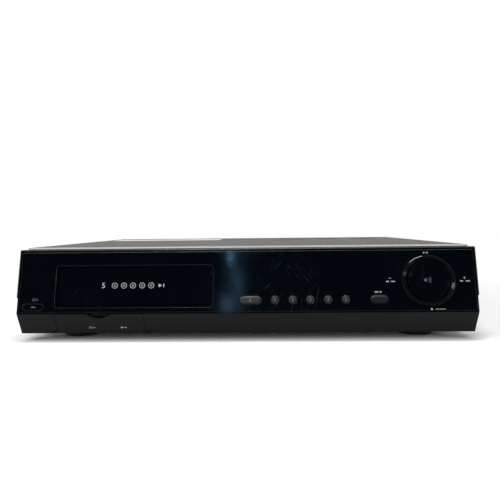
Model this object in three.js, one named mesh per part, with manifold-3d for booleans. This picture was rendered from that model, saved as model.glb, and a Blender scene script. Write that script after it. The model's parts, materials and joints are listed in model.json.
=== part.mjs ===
// A home theatre receiver with a five-disc changer: gloss black front with a drop-down tray door,
// disc and function buttons, a volume knob in a four-way jog ring, and a flap over two ports.
// Millimetres. +X is to the viewer's right, +Y is towards the rear, +Z is up.
// The origin is on the standing surface, under the middle of the unit.

import * as THREE from 'three';
import { mergeVertices } from 'three/addons/utils/BufferGeometryUtils.js';
import Module from 'manifold-3d';

// Whole unit
const unitWidth = 430;
const unitDepth = 390;
const footHeight = 7;
const seatGap = 0.3;
const runningGap = 0.5;
const overrun = 1;
const frontY = -unitDepth / 2;
const behindFront = (distance) => frontY + distance;

// Places across the unit are stated from its left or its right side, and places at its rear as a
// distance behind the front that is measured back from the rear end.
const fromLeft = (distance) => distance - unitWidth / 2;
const fromRight = (distance) => unitWidth / 2 - distance;
const fromRear = (distance) => unitDepth - distance;
const aboveFeet = (distance) => footHeight + distance;

// Fascia: a lower strip that leans out going up, and a gloss panel that leans back from their junction
const stripRise = 20.2;
const stripRecess = 11.1;
const panelLength = 61.1;
const panelLeanDegrees = 15;
const fasciaDepth = 29;
const fasciaStepRise = 14.5;
const fasciaStepIn = 1.5;
const junctionZ = footHeight + stripRise;
const panelLean = THREE.MathUtils.degToRad(panelLeanDegrees);
const panelTopZ = junctionZ + panelLength * Math.cos(panelLean);
const panelTopY = behindFront(panelLength * Math.sin(panelLean));

const frame = {
  plateBack: 5.2,
  ledge: 2.9,
  borderSide: 2.4,
  borderTop: 2.5,
  borderBottom: 0.9,
  cornerRadius: 1.6,
  cheek: 4.6,
  topWall: 2.2,
  shelf: 1.2,
  shelfLeft: fromLeft(31),
  sinkIn: 0.6,
};
const windowSheet = { thickness: 2.3, faceRecess: 0.3 };

// Tray door and its collar, in the panel's own plane: x across, rise up the panel
const door = {
  centreX: fromLeft(110.6),
  width: 143,
  height: 34.5,
  rise: 8.4,
  thickness: 2.5,
  faceRecess: 0.8,
  cornerRadius: 0.8,
  sideGap: 0.9,
  bottomGap: 1.1,
  collarWall: 1.5,
  pinRadius: 1,
  pinRise: 1.6,
  pinDepth: 1.25,
  ribWall: 1.2,
  ribDepth: 1.6,
  ribInset: 8,
};

// Buttons on the panel: centre across, centre up the panel, width and height
const buttonSizes = {
  power_button: { x: fromLeft(16.7), rise: 6.3, width: 20.3, height: 6.2, tail: 8 },
  open_button: { x: fromRight(210.5), rise: 12, width: 19.4, height: 7.5, tail: 9 },
  function_button: { x: fromRight(91.6), rise: 12, width: 15.4, height: 7.5, tail: 9 },
};
const discButton = { firstX: fromRight(187.7), pitch: 16.35, rise: 12, width: 7, height: 7.7, tail: 9 };
const discCount = 5;
const button = { proud: 0.9, edge: 0.5, holeGap: 0.35, flange: 1.1, flangeThickness: 1.1, flangeGap: 0.5 };
const keySwitch = { width: 4.4, gap: 0.9, plungerRadius: 1.6 };

// Volume knob and jog ring
const knob = {
  x: fromRight(46.3),
  rise: 28.9,
  radius: 19.3,
  wall: 1.8,
  proud: 4.4,
  dish: 0.9,
  edge: 0.7,
  skirt: 1.5,
  faceThickness: 1.8,
  shaftRadius: 3,
  shaftLength: 9.2,
};
const ring = {
  halfWidth: 24.7,
  halfHeight: 23.5,
  innerRadius: 20.1,
  proud: 4,
  edge: 1.6,
  depth: 6,
  holeGap: 0.7,
  pinRadius: 0.9,
  pinReach: 16.4,
};
const carrier = { innerRadius: 14, outerRadius: 18.2, front: 4.2, back: 7.2, pinReach: 10.8 };
const encoder = { radius: 12.2, front: 4.6, boreRadius: 3.4, boreDepth: 6 };
const pivotHoleRadius = 1.3;

// Front board and display, parallel to the panel
const frontBoard = {
  left: fromRight(233),
  right: fromRight(9),
  bottom: 5.4,
  top: 56,
  depth: 12.4,
  thickness: 1.6,
};
const display = {
  x: fromRight(153),
  rise: 36,
  width: 108,
  height: 21,
  depth: 5.4,
  holeGap: 1.2,
  nipRadius: 1,
  nipLength: 4,
};

// Port flap in the lower strip, and the ports behind it
const flap = {
  left: fromLeft(36.3),
  right: fromLeft(120),
  thickness: 2,
  bottomRise: 0.4,
  topGap: 0.5,
  sideGap: 0.4,
  pinRise: 1.6,
  pinDepth: 1,
  pinRadius: 1,
  pinLength: 1.7,
  notchX: fromLeft(78.4),
  notchHalfWidth: 12.7,
  notchDepth: 5.6,
};
const strip = {
  halfWidth: unitWidth / 2 - fasciaStepIn,
  wall: 2.2,
  flange: 2,
  topFlangeCut: 4.4,
  bottomFlangeStart: 13.4,
  lug: 2.2,
  lugDepth: 15.4,
  backWallStart: 13.8,
};
const ports = {
  rise: 10.6,
  front: 11,
  boardDepth: 24,
  boardThickness: 1.6,
  uprightTop: aboveFeet(35),
  uprightRight: fromLeft(28),
};
const usb = {
  x: fromLeft(100.7),
  width: 14.4,
  height: 7,
  wall: 0.7,
  tongueWidth: 11,
  tongueHeight: 1.8,
  holeGap: 0.4,
};
const audio = {
  x: fromLeft(70.5),
  width: 9.6,
  height: 9.6,
  barrelRadius: 4.2,
  boreRadius: 1.8,
  boreDepth: 10,
};

// Sheet metal case: the cover stands in from the fascia's sides, and the base fits inside the cover
const coverInset = 3;
const sheetGap = 0.4;
const rearFlangeInset = 1;
const rearFront = fromRear(12.5);
const cover = {
  halfWidth: unitWidth / 2 - coverInset,
  wall: 1,
  rise: 1.8,
  front: 24.3,
  rear: fromRear(10),
  bottom: aboveFeet(1),
  bendRadius: 3.5,
  lipFront: 22.4,
  lipRise: 0.35,
  lipThickness: 1.2,
  slotWidth: 3,
  slotLength: 34,
  slotPitch: 11,
  slotColumnPitch: 52,
  slotFirstX: fromRight(159),
  slotFirstY: fromRear(128),
  sideSlotLength: 24,
  sideSlotPitch: 8,
  sideSlotFirstY: fromRear(150),
  sideSlotBottom: aboveFeet(27),
};
const coverSlotRows = 8;
const coverSlotColumns = 3;
const sideSlotCount = 8;
const coverTopZ = panelTopZ + cover.rise;
const base = {
  halfWidth: cover.halfWidth - cover.wall - sheetGap,
  wall: 1.2,
  front: fasciaDepth + seatGap,
  rear: rearFront - seatGap,
  frontFlange: 17,
  sideFlange: 22,
  postRadius: 3,
  postHeight: 5,
  slotWidth: 3,
  slotLength: 30,
  slotPitch: 9,
  slotFirstX: fromRight(185),
  slotY: fromRear(128),
};
const baseSlotCount = 9;
const foot = {
  radius: 17,
  topRadius: 14.5,
  x: fromRight(47),
  endInset: 48,
  bossRadius: 5,
  recess: 3,
  edge: 1,
};
const rear = {
  halfWidth: base.halfWidth - rearFlangeInset,
  front: rearFront,
  wall: 1,
  bottomGap: 0.3,
  topGap: 0.4,
};
const rearOuter = rear.front + rear.wall;
const floorTopZ = footHeight + base.wall;

// Disc changer. Trays lie one above the other; the top one is level with the upper half of the door.
const tray = {
  halfWidth: 65,
  front: 125.6,
  length: 158,
  bodyLength: 130,
  tailWidth: 11,
  thickness: 4.4,
  cornerRadius: 9,
  rise: aboveFeet(52.6),
  pitch: 6.6,
  recessRadius: 60.6,
  recessDepth: 1.7,
  frontRim: 4,
  slotHalfWidth: 19.5,
  slotFront: 54,
  slotRear: 18,
};
const rack = { toothCount: 26, pitch: 6.2832, depth: 2.4, start: 3, tipShare: 0.2, rootShare: 0.62 };
const changer = {
  wall: 3,
  wallGap: 0.6,
  ledge: 2.6,
  ledgeThickness: 1.6,
  floorThickness: 2,
  floorLift: 5.3,
  front: 32,
  stockFront: 157,
  stockRear: 289.7,
  top: aboveFeet(64),
  deckPostRadius: 4,
  footRadius: 4,
};
const pinionTeeth = 12;
const wheelTeeth = 12;
const motorTeeth = 6;
const gear = {
  pinionThickness: 3,
  toothDepth: 2.4,
  wheelModule: 1.5,
  wheelThickness: 2.4,
  wheelToothDepth: 2.6,
  pulleyRadius: 6,
  grooveRadius: 4.6,
  pulleyThickness: 3.4,
  boreRadius: 2.3,
  postRadius: 2,
  tipShare: 0.34,
  rootShare: 0.6,
  rearY: 139,
  frontY: 37,
  faceGap: 0.4,
};
const belt = { thickness: 1, width: 1.6 };
const bracket = {
  left: 70.5,
  right: 98,
  front: 22,
  rear: 150,
  thickness: 1.6,
  legWall: 1.6,
  legWidth: 12,
  legInset: 24,
};
const loadingMotor = { radius: 11, height: 15, shaftRadius: 1, chamfer: 1 };
const deck = {
  halfWidth: 36,
  front: 19,
  rear: 118,
  rise: 37,
  thickness: 1.4,
  spindleY: 86,
  slotHalfWidth: 17,
  rodRadius: 1.5,
  rodX: 21,
  rodRise: 4,
  rodBlock: 6,
  rodBlockDepth: 4,
  postInset: 9,
};
const spindle = { radius: 13, height: 6.4, shaftRadius: 1 };
const turntable = { radius: 14, height: 3.4, coneRadius: 7.4, coneHeight: 2.6, boreRadius: 1.4 };
const pickup = {
  halfWidth: 17.6,
  length: 16,
  height: 7.6,
  y: 53,
  lift: 1.4,
  lensRadius: 3.2,
  lensHeight: 0.9,
};
const bridge = { front: 74, rear: 98, rise: aboveFeet(68), thickness: 1.2, legDrop: 3.4, holeRadius: 9 };
const clamper = {
  flangeRadius: 12,
  neckRadius: 8.2,
  padRadius: 14,
  flangeThickness: 1,
  padThickness: 3,
  gap: 0.5,
};

// Boards and power
const mainBoard = {
  left: door.centreX + 106.4,
  right: fromRight(17),
  front: 60,
  rear: fromRear(162),
  thickness: 1.6,
};
const chip = { width: 28, height: 2, smallWidth: 14, smallHeight: 1.6 };
const powerBoard = {
  left: fromRight(111),
  right: fromRight(15),
  front: fromRear(154),
  rear: fromRear(22),
  thickness: 1.6,
};
const capacitor = { radius: 9, height: 30, smallRadius: 6, smallHeight: 22 };
const transformer = {
  x: fromRight(37),
  y: fromRear(108),
  width: 38,
  depth: 44,
  height: 34,
  coilRadius: 15,
  coilWidth: 26,
};
const ampBoard = {
  left: fromRight(255),
  right: fromRight(119),
  front: fromRear(100),
  rear: fromRear(32),
  thickness: 1.6,
};
const sink = {
  left: fromRight(195),
  right: fromRight(123),
  front: fromRear(90),
  rear: fromRear(40),
  wall: 3,
  finThickness: 1.6,
  height: 40,
};
const finCount = 9;

// Fan behind the rear grille
const fan = {
  x: fromRight(153),
  z: aboveFeet(41),
  size: 50,
  depth: 13,
  boreRadius: 23,
  hubRadius: 10,
  spokeWidth: 3,
  spokeDepth: 2,
  cornerRadius: 4,
  bladeThickness: 1.2,
  bladeGap: 0.9,
  rotorGap: 0.6,
};
const bladeCount = 7;
const bladePitchDegrees = 38;
const grille = { slotWidth: 3, slotPitch: 5, radius: 22 };
const grilleSlots = 9;

// Rear connectors
const speaker = {
  x: fromRight(237),
  z: aboveFeet(23),
  width: 92,
  height: 34,
  front: fromRear(26),
  flange: 2,
  flangeOut: 1.6,
  leverWidth: 5.4,
  leverHeight: 7,
  leverOut: 5,
  wireRadius: 1.8,
  wireDepth: 5,
  pitch: 16.6,
};
const speakerPairs = 5;
const jack = {
  sleeveRadius: 4.1,
  boreRadius: 1.6,
  boreDepth: 7,
  rimRadius: 5.2,
  rim: 2,
  pitchX: 20,
  pitchZ: 14,
};
const avBlock = {
  x: fromLeft(87),
  z: aboveFeet(25),
  width: 66,
  height: 32,
  front: fromRear(28),
  flange: 1.4,
};
const jackColumns = 3;
const jackRows = 2;
const aerial = {
  x: fromLeft(31),
  z: aboveFeet(27),
  width: 30,
  height: 36,
  front: fromRear(26),
  flange: 1.4,
  coaxRadius: 4.6,
  coaxBore: 1.1,
  coaxOut: 10,
  clipWidth: 9,
  clipHeight: 12,
  clipOut: 6,
};

// Mains cord: strain relief, free run, coil, tie and plug
const cord = {
  radius: 3,
  exitX: fromRight(55),
  exitZ: aboveFeet(17),
  reliefLength: 28,
  reliefRadius: 6.4,
  reliefEndRadius: 3.9,
  reliefFlangeRadius: 8,
  reliefFlange: 2,
  reliefInner: 5,
  lift: 0.05,
};
const coil = {
  x: fromRight(131),
  y: unitDepth + 38,
  innerRadius: 25.8,
  pitch: 6.7,
  lead: 6,
  tailLead: 22,
};
const coilTurnsEachWay = 2.75;
const coilTurns = 2 * coilTurnsEachWay + 0.5;
const coilStepsPerTurn = 24;
const coilSides = 6;
const cordSides = 8;
const plug = {
  length: 30,
  halfHeight: 9.4,
  halfWidth: 12,
  neck: 12,
  neckRadius: 4.6,
  edge: 2.5,
  bladeLength: 17,
};
const blade = { thickness: 1.5, height: 6.3, spacing: 12.7 };
const tie = { width: 5, thickness: 0.8, gap: 0.4 };

// Finishes: colour, roughness and metalness of each kind of surface
const finishes = {
  glossBlack: [0x06080c, 0.08, 0],
  buttonGrey: [0x55585e, 0.35, 0],
  ringBlack: [0x0c0e12, 0.12, 0],
  charcoal: [0x26282d, 0.5, 0],
  coverBlack: [0x2b2c2e, 0.42, 0.3],
  zincSteel: [0xb4b6b4, 0.4, 0.9],
  blackPlastic: [0x17181a, 0.6, 0],
  whitePlastic: [0xd9d7cf, 0.5, 0],
  greyPlastic: [0x6d7074, 0.5, 0],
  boardGreen: [0x1f4d2c, 0.5, 0],
  boardTan: [0x9a6f3a, 0.6, 0],
  aluminium: [0xaeb0b2, 0.35, 0.9],
  glass: [0x1b2326, 0.05, 0],
  rubber: [0x141414, 0.85, 0],
  copper: [0x8c4a25, 0.45, 0.6],
};

const wasm = await Module();
wasm.setup();
const vertexTolerance = 1e-4;
const shortestEdge = 0.01;
const cornerSteps = 4;

// Plain geometry helpers

function tidied(geometry) {
  const bare = geometry.clone();
  bare.deleteAttribute('normal');
  bare.deleteAttribute('uv');
  const merged = mergeVertices(bare, vertexTolerance);
  const source = merged.index.array;
  const kept = [];
  for (let i = 0; i < source.length; i += 3) {
    const [a, b, c] = [source[i], source[i + 1], source[i + 2]];
    if (a !== b && b !== c && c !== a) kept.push(a, b, c);
  }
  merged.setIndex(kept);
  return merged;
}

function solidOf(geometry) {
  const closed = tidied(geometry);
  const vertProperties = new Float32Array(closed.attributes.position.array);
  const triVerts = new Uint32Array(closed.index.array);
  return new wasm.Manifold(new wasm.Mesh({ numProp: 3, vertProperties, triVerts }));
}

function geometryOf(solid) {
  const mesh = solid.getMesh();
  const geometry = new THREE.BufferGeometry();
  geometry.setAttribute('position', new THREE.BufferAttribute(new Float32Array(mesh.vertProperties), 3));
  geometry.setIndex(new THREE.BufferAttribute(new Uint32Array(mesh.triVerts), 1));
  return geometry;
}

// Joins the first list of geometries and cuts the second from the result.
function build(added, removed = []) {
  let solid = solidOf(added[0]);
  for (const geometry of added.slice(1)) solid = solid.add(solidOf(geometry));
  for (const geometry of removed) solid = solid.subtract(solidOf(geometry));
  return geometryOf(solid);
}

function box(x0, x1, y0, y1, z0, z1) {
  const geometry = new THREE.BoxGeometry(x1 - x0, y1 - y0, z1 - z0);
  return geometry.translate((x0 + x1) / 2, (y0 + y1) / 2, (z0 + z1) / 2);
}

function polygon(points) {
  return new THREE.Shape(points.map(([a, b]) => new THREE.Vector2(a, b)));
}

function roundedRect(x, y, width, height, radius, corner = cornerSteps) {
  const points = [];
  const [reachX, reachY] = [width / 2 - radius, height / 2 - radius];
  const corners = [[1, -1], [1, 1], [-1, 1], [-1, -1]];
  corners.forEach(([signX, signY], quarter) => {
    for (let i = 0; i <= corner; i += 1) {
      const angle = (quarter - 1 + i / corner) * (Math.PI / 2);
      const px = x + signX * reachX + radius * Math.cos(angle);
      const py = y + signY * reachY + radius * Math.sin(angle);
      const last = points[points.length - 1];
      if (!last || Math.hypot(px - last[0], py - last[1]) > shortestEdge) points.push([px, py]);
    }
  });
  const [first, last] = [points[0], points[points.length - 1]];
  if (Math.hypot(first[0] - last[0], first[1] - last[1]) < shortestEdge) points.pop();
  return polygon(points);
}

function oval(x, y, halfWidth, halfHeight, sides) {
  const points = [];
  for (let i = 0; i < sides; i += 1) {
    const angle = (2 * Math.PI * i) / sides;
    points.push([x + halfWidth * Math.cos(angle), y + halfHeight * Math.sin(angle)]);
  }
  return polygon(points);
}

// Extrusions along each axis. alongX takes (y, z) outlines, alongY takes (x, z), alongZ takes (x, y).
function extrude(shape, length, curveSegments) {
  return new THREE.ExtrudeGeometry(shape, { depth: length, bevelEnabled: false, curveSegments });
}

function alongZ(shape, z0, z1, curveSegments = 3) {
  return extrude(shape, z1 - z0, curveSegments).translate(0, 0, z0);
}

const axisX = new THREE.Vector3(1, 0, 0);
const axisY = new THREE.Vector3(0, 1, 0);
const axisZ = new THREE.Vector3(0, 0, 1);

function alongX(shape, x0, x1, curveSegments = 3) {
  const turn = new THREE.Matrix4().makeBasis(axisY, axisZ, axisX);
  return extrude(shape, x1 - x0, curveSegments).applyMatrix4(turn).translate(x0, 0, 0);
}

function alongY(shape, y0, y1, curveSegments = 3) {
  const turn = new THREE.Matrix4().makeBasis(axisX, axisZ, axisY.clone().negate());
  return extrude(shape, y1 - y0, curveSegments).applyMatrix4(turn).translate(0, y1, 0);
}

// An extrusion along Z whose two ends are chamfered by edge.
function softened(shape, z0, z1, edge, curveSegments = 4) {
  const settings = {
    depth: z1 - z0 - 2 * edge,
    bevelEnabled: true,
    bevelThickness: edge,
    bevelSize: edge,
    bevelOffset: -edge,
    bevelSegments: 1,
    curveSegments,
  };
  return new THREE.ExtrudeGeometry(shape, settings).translate(0, 0, z0 + edge);
}

// A solid of revolution about Z from (radius, height) points, which start and end on the axis.
function turned(profile, sides, x = 0, y = 0) {
  const points = profile.map(([radius, height]) => new THREE.Vector2(radius, height));
  return new THREE.LatheGeometry(points, sides).rotateX(Math.PI / 2).translate(x, y, 0);
}

function disc(x, y, z0, z1, radius, sides = 16) {
  return turned([[0, z0], [radius, z0], [radius, z1], [0, z1]], sides, x, y);
}

// Turns a solid that was made about Z so that it lies along +Y or +X from its place.
function layAlongY(geometry, x, y, z) {
  return geometry.rotateX(-Math.PI / 2).translate(x, y, z);
}

function layAlongX(geometry, x, y, z) {
  return geometry.rotateY(Math.PI / 2).translate(x, y, z);
}

// The scene graph: unit is the whole, panel is the leaning plane of the gloss front,
// where x runs across, y up the panel and z out of it.
const unit = new THREE.Group();
const panel = new THREE.Group();
panel.position.set(0, frontY, junctionZ);
panel.rotation.x = Math.PI / 2 - panelLean;
unit.add(panel);
panel.updateMatrix();

function onPanel(geometry) {
  return geometry.applyMatrix4(panel.matrix);
}

function addPiece(parent, name, geometry, finish) {
  const [color, roughness, metalness] = finishes[finish];
  const material = new THREE.MeshStandardMaterial({ color, roughness, metalness });
  const piece = new THREE.Mesh(tidied(geometry), material);
  piece.name = name;
  parent.add(piece);
  return piece;
}

// A point of the panel, in the unit's own frame, as [y, z]
function panelPoint(rise, out) {
  const y = frontY + rise * Math.sin(panelLean) - out * Math.cos(panelLean);
  const z = junctionZ + rise * Math.cos(panelLean) + out * Math.sin(panelLean);
  return [y, z];
}

// Front

const collar = {
  halfWidth: door.width / 2 + door.sideGap,
  bottom: door.rise - door.bottomGap,
  top: door.rise + door.height + door.sideGap,
};
collar.centre = (collar.bottom + collar.top) / 2;
collar.height = collar.top - collar.bottom;
const discButtonSizes = [];
for (let i = 0; i < discCount; i += 1) {
  discButtonSizes.push({ ...discButton, x: discButton.firstX + i * discButton.pitch });
}
const buttonBore = button.holeGap + button.flange;

function buttonShape({ x, rise, width, height }, extra) {
  const [w, h] = [width + 2 * extra, height + 2 * extra];
  return roundedRect(x, rise, w, h, Math.min(w, h) / 2, 4);
}

function discButtonShape({ x, rise, width, height }, extra) {
  return oval(x, rise, width / 2 + extra, height / 2 + extra, 12);
}

// Cutters through the panel for the keys and the ring, from back to front.
function panelHoles(back, front) {
  const holes = Object.values(buttonSizes).map((size) => buttonShape(size, button.holeGap));
  holes.push(...discButtonSizes.map((size) => discButtonShape(size, button.holeGap)));
  const { holeGap, halfWidth, halfHeight } = ring;
  holes.push(oval(knob.x, knob.rise, halfWidth + holeGap, halfHeight + holeGap, 28));
  return holes.map((shape) => alongZ(shape, back, front));
}

function doorPinCutter() {
  const reach = collar.halfWidth + door.collarWall + overrun;
  const pinOut = -door.faceRecess - door.pinDepth;
  const cutter = layAlongX(disc(0, 0, -reach, reach, pivotHoleRadius, 12), door.centreX, 0, 0);
  return cutter.translate(0, door.rise + door.pinRise, pinOut);
}

function makeFrontFrame() {
  const half = unitWidth / 2;
  const stepped = half - fasciaStepIn;
  const stepTop = fasciaStepRise + fasciaStepIn;
  const outline = polygon([
    [-stepped, 0], [stepped, 0], [stepped, fasciaStepRise], [half, stepTop], [half, panelLength],
    [-half, panelLength], [-half, stepTop], [-stepped, fasciaStepRise],
  ]);
  const plate = alongZ(outline, -frame.plateBack, 0);
  const windowHalf = half - frame.borderSide;
  const recessHeight = panelLength - frame.borderTop - frame.borderBottom;
  const recessMiddle = frame.borderBottom + recessHeight / 2;
  const recessShape = roundedRect(0, recessMiddle, 2 * windowHalf, recessHeight, frame.cornerRadius);
  const collarShape = roundedRect(
    door.centreX, collar.centre, 2 * (collar.halfWidth + door.collarWall),
    collar.height + 2 * door.collarWall, door.cornerRadius + door.collarWall,
  );
  const recess = alongZ(recessShape, -frame.ledge, overrun);
  const collarBlock = alongZ(collarShape, -frame.plateBack, -windowSheet.faceRecess);
  const doorHole = roundedRect(
    door.centreX, collar.centre, 2 * collar.halfWidth, collar.height, door.cornerRadius,
  );
  const displayWidth = display.width + 2 * display.holeGap;
  const displayHeight = display.height + 2 * display.holeGap;
  const displayHole = roundedRect(display.x, display.rise, displayWidth, displayHeight, frame.cornerRadius);
  const rearY = behindFront(fasciaDepth);
  const plateFoot = panelPoint(0, -frame.ledge);
  const shelfTop = junctionZ + frame.shelf;
  const cheekShape = polygon([
    panelPoint(0, -frame.sinkIn), panelPoint(panelLength, -frame.sinkIn),
    [panelTopY + 2 * frame.sinkIn, panelTopZ], [rearY, panelTopZ], [rearY, junctionZ],
  ]);
  const topShape = polygon([
    panelPoint(panelLength, -frame.sinkIn), [panelTopY + 2 * frame.sinkIn, panelTopZ], [rearY, panelTopZ],
    [rearY, panelTopZ - frame.topWall], [plateFoot[0] + panelTopY - frontY, panelTopZ - frame.topWall],
  ]);
  const shelfShape = polygon([
    [frontY + frame.ledge, junctionZ], [rearY, junctionZ], [rearY, shelfTop],
    [frontY + frame.ledge, shelfTop],
  ]);
  const inner = half - frame.cheek;
  const beyond = half + overrun;
  const rightCutter = alongZ(
    polygon([
      [stepped, -overrun], [beyond, -overrun], [beyond, stepTop], [half, stepTop], [stepped, fasciaStepRise],
    ]),
    -2 * fasciaDepth, overrun,
  );
  const leftCutter = alongZ(
    polygon([
      [-beyond, -overrun], [-stepped, -overrun], [-stepped, fasciaStepRise], [-half, stepTop],
      [-beyond, stepTop],
    ]),
    -2 * fasciaDepth, overrun,
  );
  const [clipFront, clipRear] = [frontY - overrun, rearY + overrun];
  const topClip = box(-unitWidth, unitWidth, clipFront, clipRear, panelTopZ, panelTopZ + overrun);
  const footClip = box(-unitWidth, unitWidth, frontY, rearY + overrun, footHeight, junctionZ);
  const shell = build(
    [
      onPanel(plate), alongX(cheekShape, -half, -inner), alongX(cheekShape, inner, half),
      alongX(topShape, -half, half), alongX(shelfShape, frame.shelfLeft, stepped),
    ],
    [onPanel(recess)],
  );
  const back = -frame.plateBack - overrun;
  const holes = [
    alongZ(doorHole, back, overrun), alongZ(displayHole, back, overrun), doorPinCutter(),
    ...panelHoles(back, overrun),
  ];
  return build(
    [shell, onPanel(collarBlock)],
    [...holes.map(onPanel), onPanel(rightCutter), onPanel(leftCutter), topClip, footClip],
  );
}

function makeFrontWindow() {
  const width = unitWidth - 2 * frame.borderSide - 2 * seatGap;
  const bottom = frame.borderBottom + seatGap;
  const top = panelLength - frame.borderTop - seatGap;
  const sheet = roundedRect(0, (bottom + top) / 2, width, top - bottom, frame.cornerRadius - seatGap);
  const back = -windowSheet.faceRecess - windowSheet.thickness;
  const around = door.collarWall + seatGap;
  const doorHole = roundedRect(
    door.centreX, collar.centre, 2 * (collar.halfWidth + around), collar.height + 2 * around,
    door.cornerRadius + around,
  );
  return build(
    [alongZ(sheet, back, -windowSheet.faceRecess)],
    [alongZ(doorHole, back - overrun, overrun), ...panelHoles(back - overrun, overrun)],
  );
}

function makeTrayDoor() {
  const face = -door.faceRecess;
  const back = face - door.thickness;
  const middle = door.rise + door.height / 2;
  const plate = roundedRect(door.centreX, middle, door.width, door.height, door.cornerRadius);
  const pinEnd = collar.halfWidth + door.collarWall - seatGap;
  const pins = layAlongX(disc(0, 0, -pinEnd, pinEnd, door.pinRadius, 10), door.centreX, 0, 0);
  pins.translate(0, door.rise + door.pinRise, face - door.pinDepth);
  const ribWidth = door.width - 2 * door.ribInset;
  const ribTop = door.rise + door.height - door.ribInset;
  const rib = box(
    door.centreX - ribWidth / 2, door.centreX + ribWidth / 2, ribTop, ribTop + door.ribWall,
    back - door.ribDepth, face - door.pinDepth,
  );
  return build([alongZ(plate, back, face), pins, rib]);
}

function makeButton(shapeOf, size) {
  const flangeFront = -frame.plateBack - button.flangeGap;
  return build([
    softened(shapeOf(size, 0), -size.tail, button.proud, button.edge),
    alongZ(shapeOf(size, buttonBore), flangeFront - button.flangeThickness, flangeFront),
  ]);
}

addPiece(unit, 'front_frame', makeFrontFrame(), 'glossBlack');
addPiece(panel, 'front_window', makeFrontWindow(), 'glossBlack');
addPiece(panel, 'tray_door', makeTrayDoor(), 'glossBlack');
addPiece(panel, 'power_button', makeButton(buttonShape, buttonSizes.power_button), 'glossBlack');
addPiece(panel, 'open_button', makeButton(buttonShape, buttonSizes.open_button), 'buttonGrey');
addPiece(panel, 'function_button', makeButton(buttonShape, buttonSizes.function_button), 'buttonGrey');
discButtonSizes.forEach((size, i) => {
  addPiece(panel, `disc_button_${i + 1}`, makeButton(discButtonShape, size), 'buttonGrey');
});

// Volume knob, jog ring and its carrier

function makeKnob() {
  const { radius, wall, proud, dish, edge, skirt, faceThickness, shaftRadius, shaftLength } = knob;
  return turned([
    [0, -shaftLength], [shaftRadius, -shaftLength], [shaftRadius, proud - dish - faceThickness],
    [radius - wall, proud - dish - faceThickness], [radius - wall, -skirt], [radius, -skirt],
    [radius, proud - edge], [radius - edge, proud], [radius - wall - edge, proud],
    [radius / 2, proud - dish], [0, proud - dish],
  ], 28, knob.x, knob.rise);
}

function radialPins(from, to, radius, direction) {
  const lay = direction === 'across' ? layAlongX : (geometry) => geometry.rotateX(Math.PI / 2);
  return [lay(disc(0, 0, from, to, radius, 8), 0, 0, 0), lay(disc(0, 0, -to, -from, radius, 8), 0, 0, 0)];
}

const pivotOut = -(carrier.front + carrier.back) / 2;

function makeRing() {
  const body = softened(oval(0, 0, ring.halfWidth, ring.halfHeight, 32), -ring.depth, ring.proud, ring.edge);
  const bore = disc(0, 0, -ring.depth - overrun, ring.proud + overrun, ring.innerRadius, 28);
  const pins = radialPins(ring.pinReach, (ring.innerRadius + ring.halfHeight) / 2, ring.pinRadius, 'up');
  pins.forEach((pin) => pin.translate(0, 0, pivotOut));
  return build([build([body], [bore]), ...pins]).translate(knob.x, knob.rise, 0);
}

function makeCarrier() {
  const body = disc(0, 0, -carrier.back, -carrier.front, carrier.outerRadius, 22);
  const bore = disc(0, 0, -carrier.back - overrun, overrun, carrier.innerRadius, 20);
  const middle = (carrier.innerRadius + carrier.outerRadius) / 2;
  const pins = radialPins(carrier.pinReach, middle, ring.pinRadius, 'across');
  const [inside, outside] = [carrier.innerRadius - overrun, carrier.outerRadius + overrun];
  const holes = radialPins(inside, outside, pivotHoleRadius, 'up');
  [...pins, ...holes].forEach((pin) => pin.translate(0, 0, pivotOut));
  return build([build([body], [bore]), ...pins], holes).translate(knob.x, knob.rise, 0);
}

function makeEncoder() {
  const back = -frontBoard.depth + seatGap;
  const body = disc(0, 0, back, -encoder.front, encoder.radius, 20);
  const bore = disc(0, 0, -encoder.front - encoder.boreDepth, overrun, encoder.boreRadius, 14);
  const holes = radialPins(carrier.pinReach - seatGap, encoder.radius + overrun, pivotHoleRadius, 'across');
  holes.forEach((hole) => hole.translate(0, 0, pivotOut));
  return build([body], [bore, ...holes]).translate(knob.x, knob.rise, 0);
}

addPiece(panel, 'volume_knob', makeKnob(), 'glossBlack');
addPiece(panel, 'jog_ring', makeRing(), 'ringBlack');
addPiece(panel, 'jog_ring_frame', makeCarrier(), 'blackPlastic');
addPiece(panel, 'volume_encoder', makeEncoder(), 'blackPlastic');

// Front board with its key switches, and the display tube on it

function keySwitchSolids(x, rise, plungerTop) {
  const board = -frontBoard.depth;
  const half = keySwitch.width / 2;
  return [
    box(x - half, x + half, rise - half, rise + half, board - overrun, plungerTop - keySwitch.gap),
    disc(x, rise, board, plungerTop, keySwitch.plungerRadius, 6),
  ];
}

function makeFrontBoard() {
  const { left, right, bottom, top, depth, thickness } = frontBoard;
  const plate = box(left, right, bottom, top, -depth - thickness, -depth);
  const switches = [];
  for (const size of [buttonSizes.open_button, buttonSizes.function_button, ...discButtonSizes]) {
    switches.push(...keySwitchSolids(size.x, size.rise, -size.tail - keySwitch.gap));
  }
  const [across, up] = [(ring.innerRadius + ring.halfWidth) / 2, (ring.innerRadius + ring.halfHeight) / 2];
  for (const [dx, dy] of [[across, 0], [-across, 0], [0, up], [0, -up]]) {
    switches.push(...keySwitchSolids(knob.x + dx, knob.rise + dy, -ring.depth - 2 * keySwitch.gap));
  }
  return build([plate, ...switches]);
}

function makeDisplayTube() {
  const back = -frontBoard.depth + seatGap;
  const front = back + display.depth;
  const half = display.width / 2;
  const face = roundedRect(display.x, display.rise, display.width, display.height, frame.cornerRadius);
  const glass = softened(face, back, front, frame.cornerRadius / 2, 2);
  const nip = disc(0, 0, 0, display.nipLength, display.nipRadius, 8);
  const nipX = display.x + half - display.nipRadius;
  return build([glass, layAlongX(nip, nipX, display.rise, (back + front) / 2)]);
}

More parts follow.
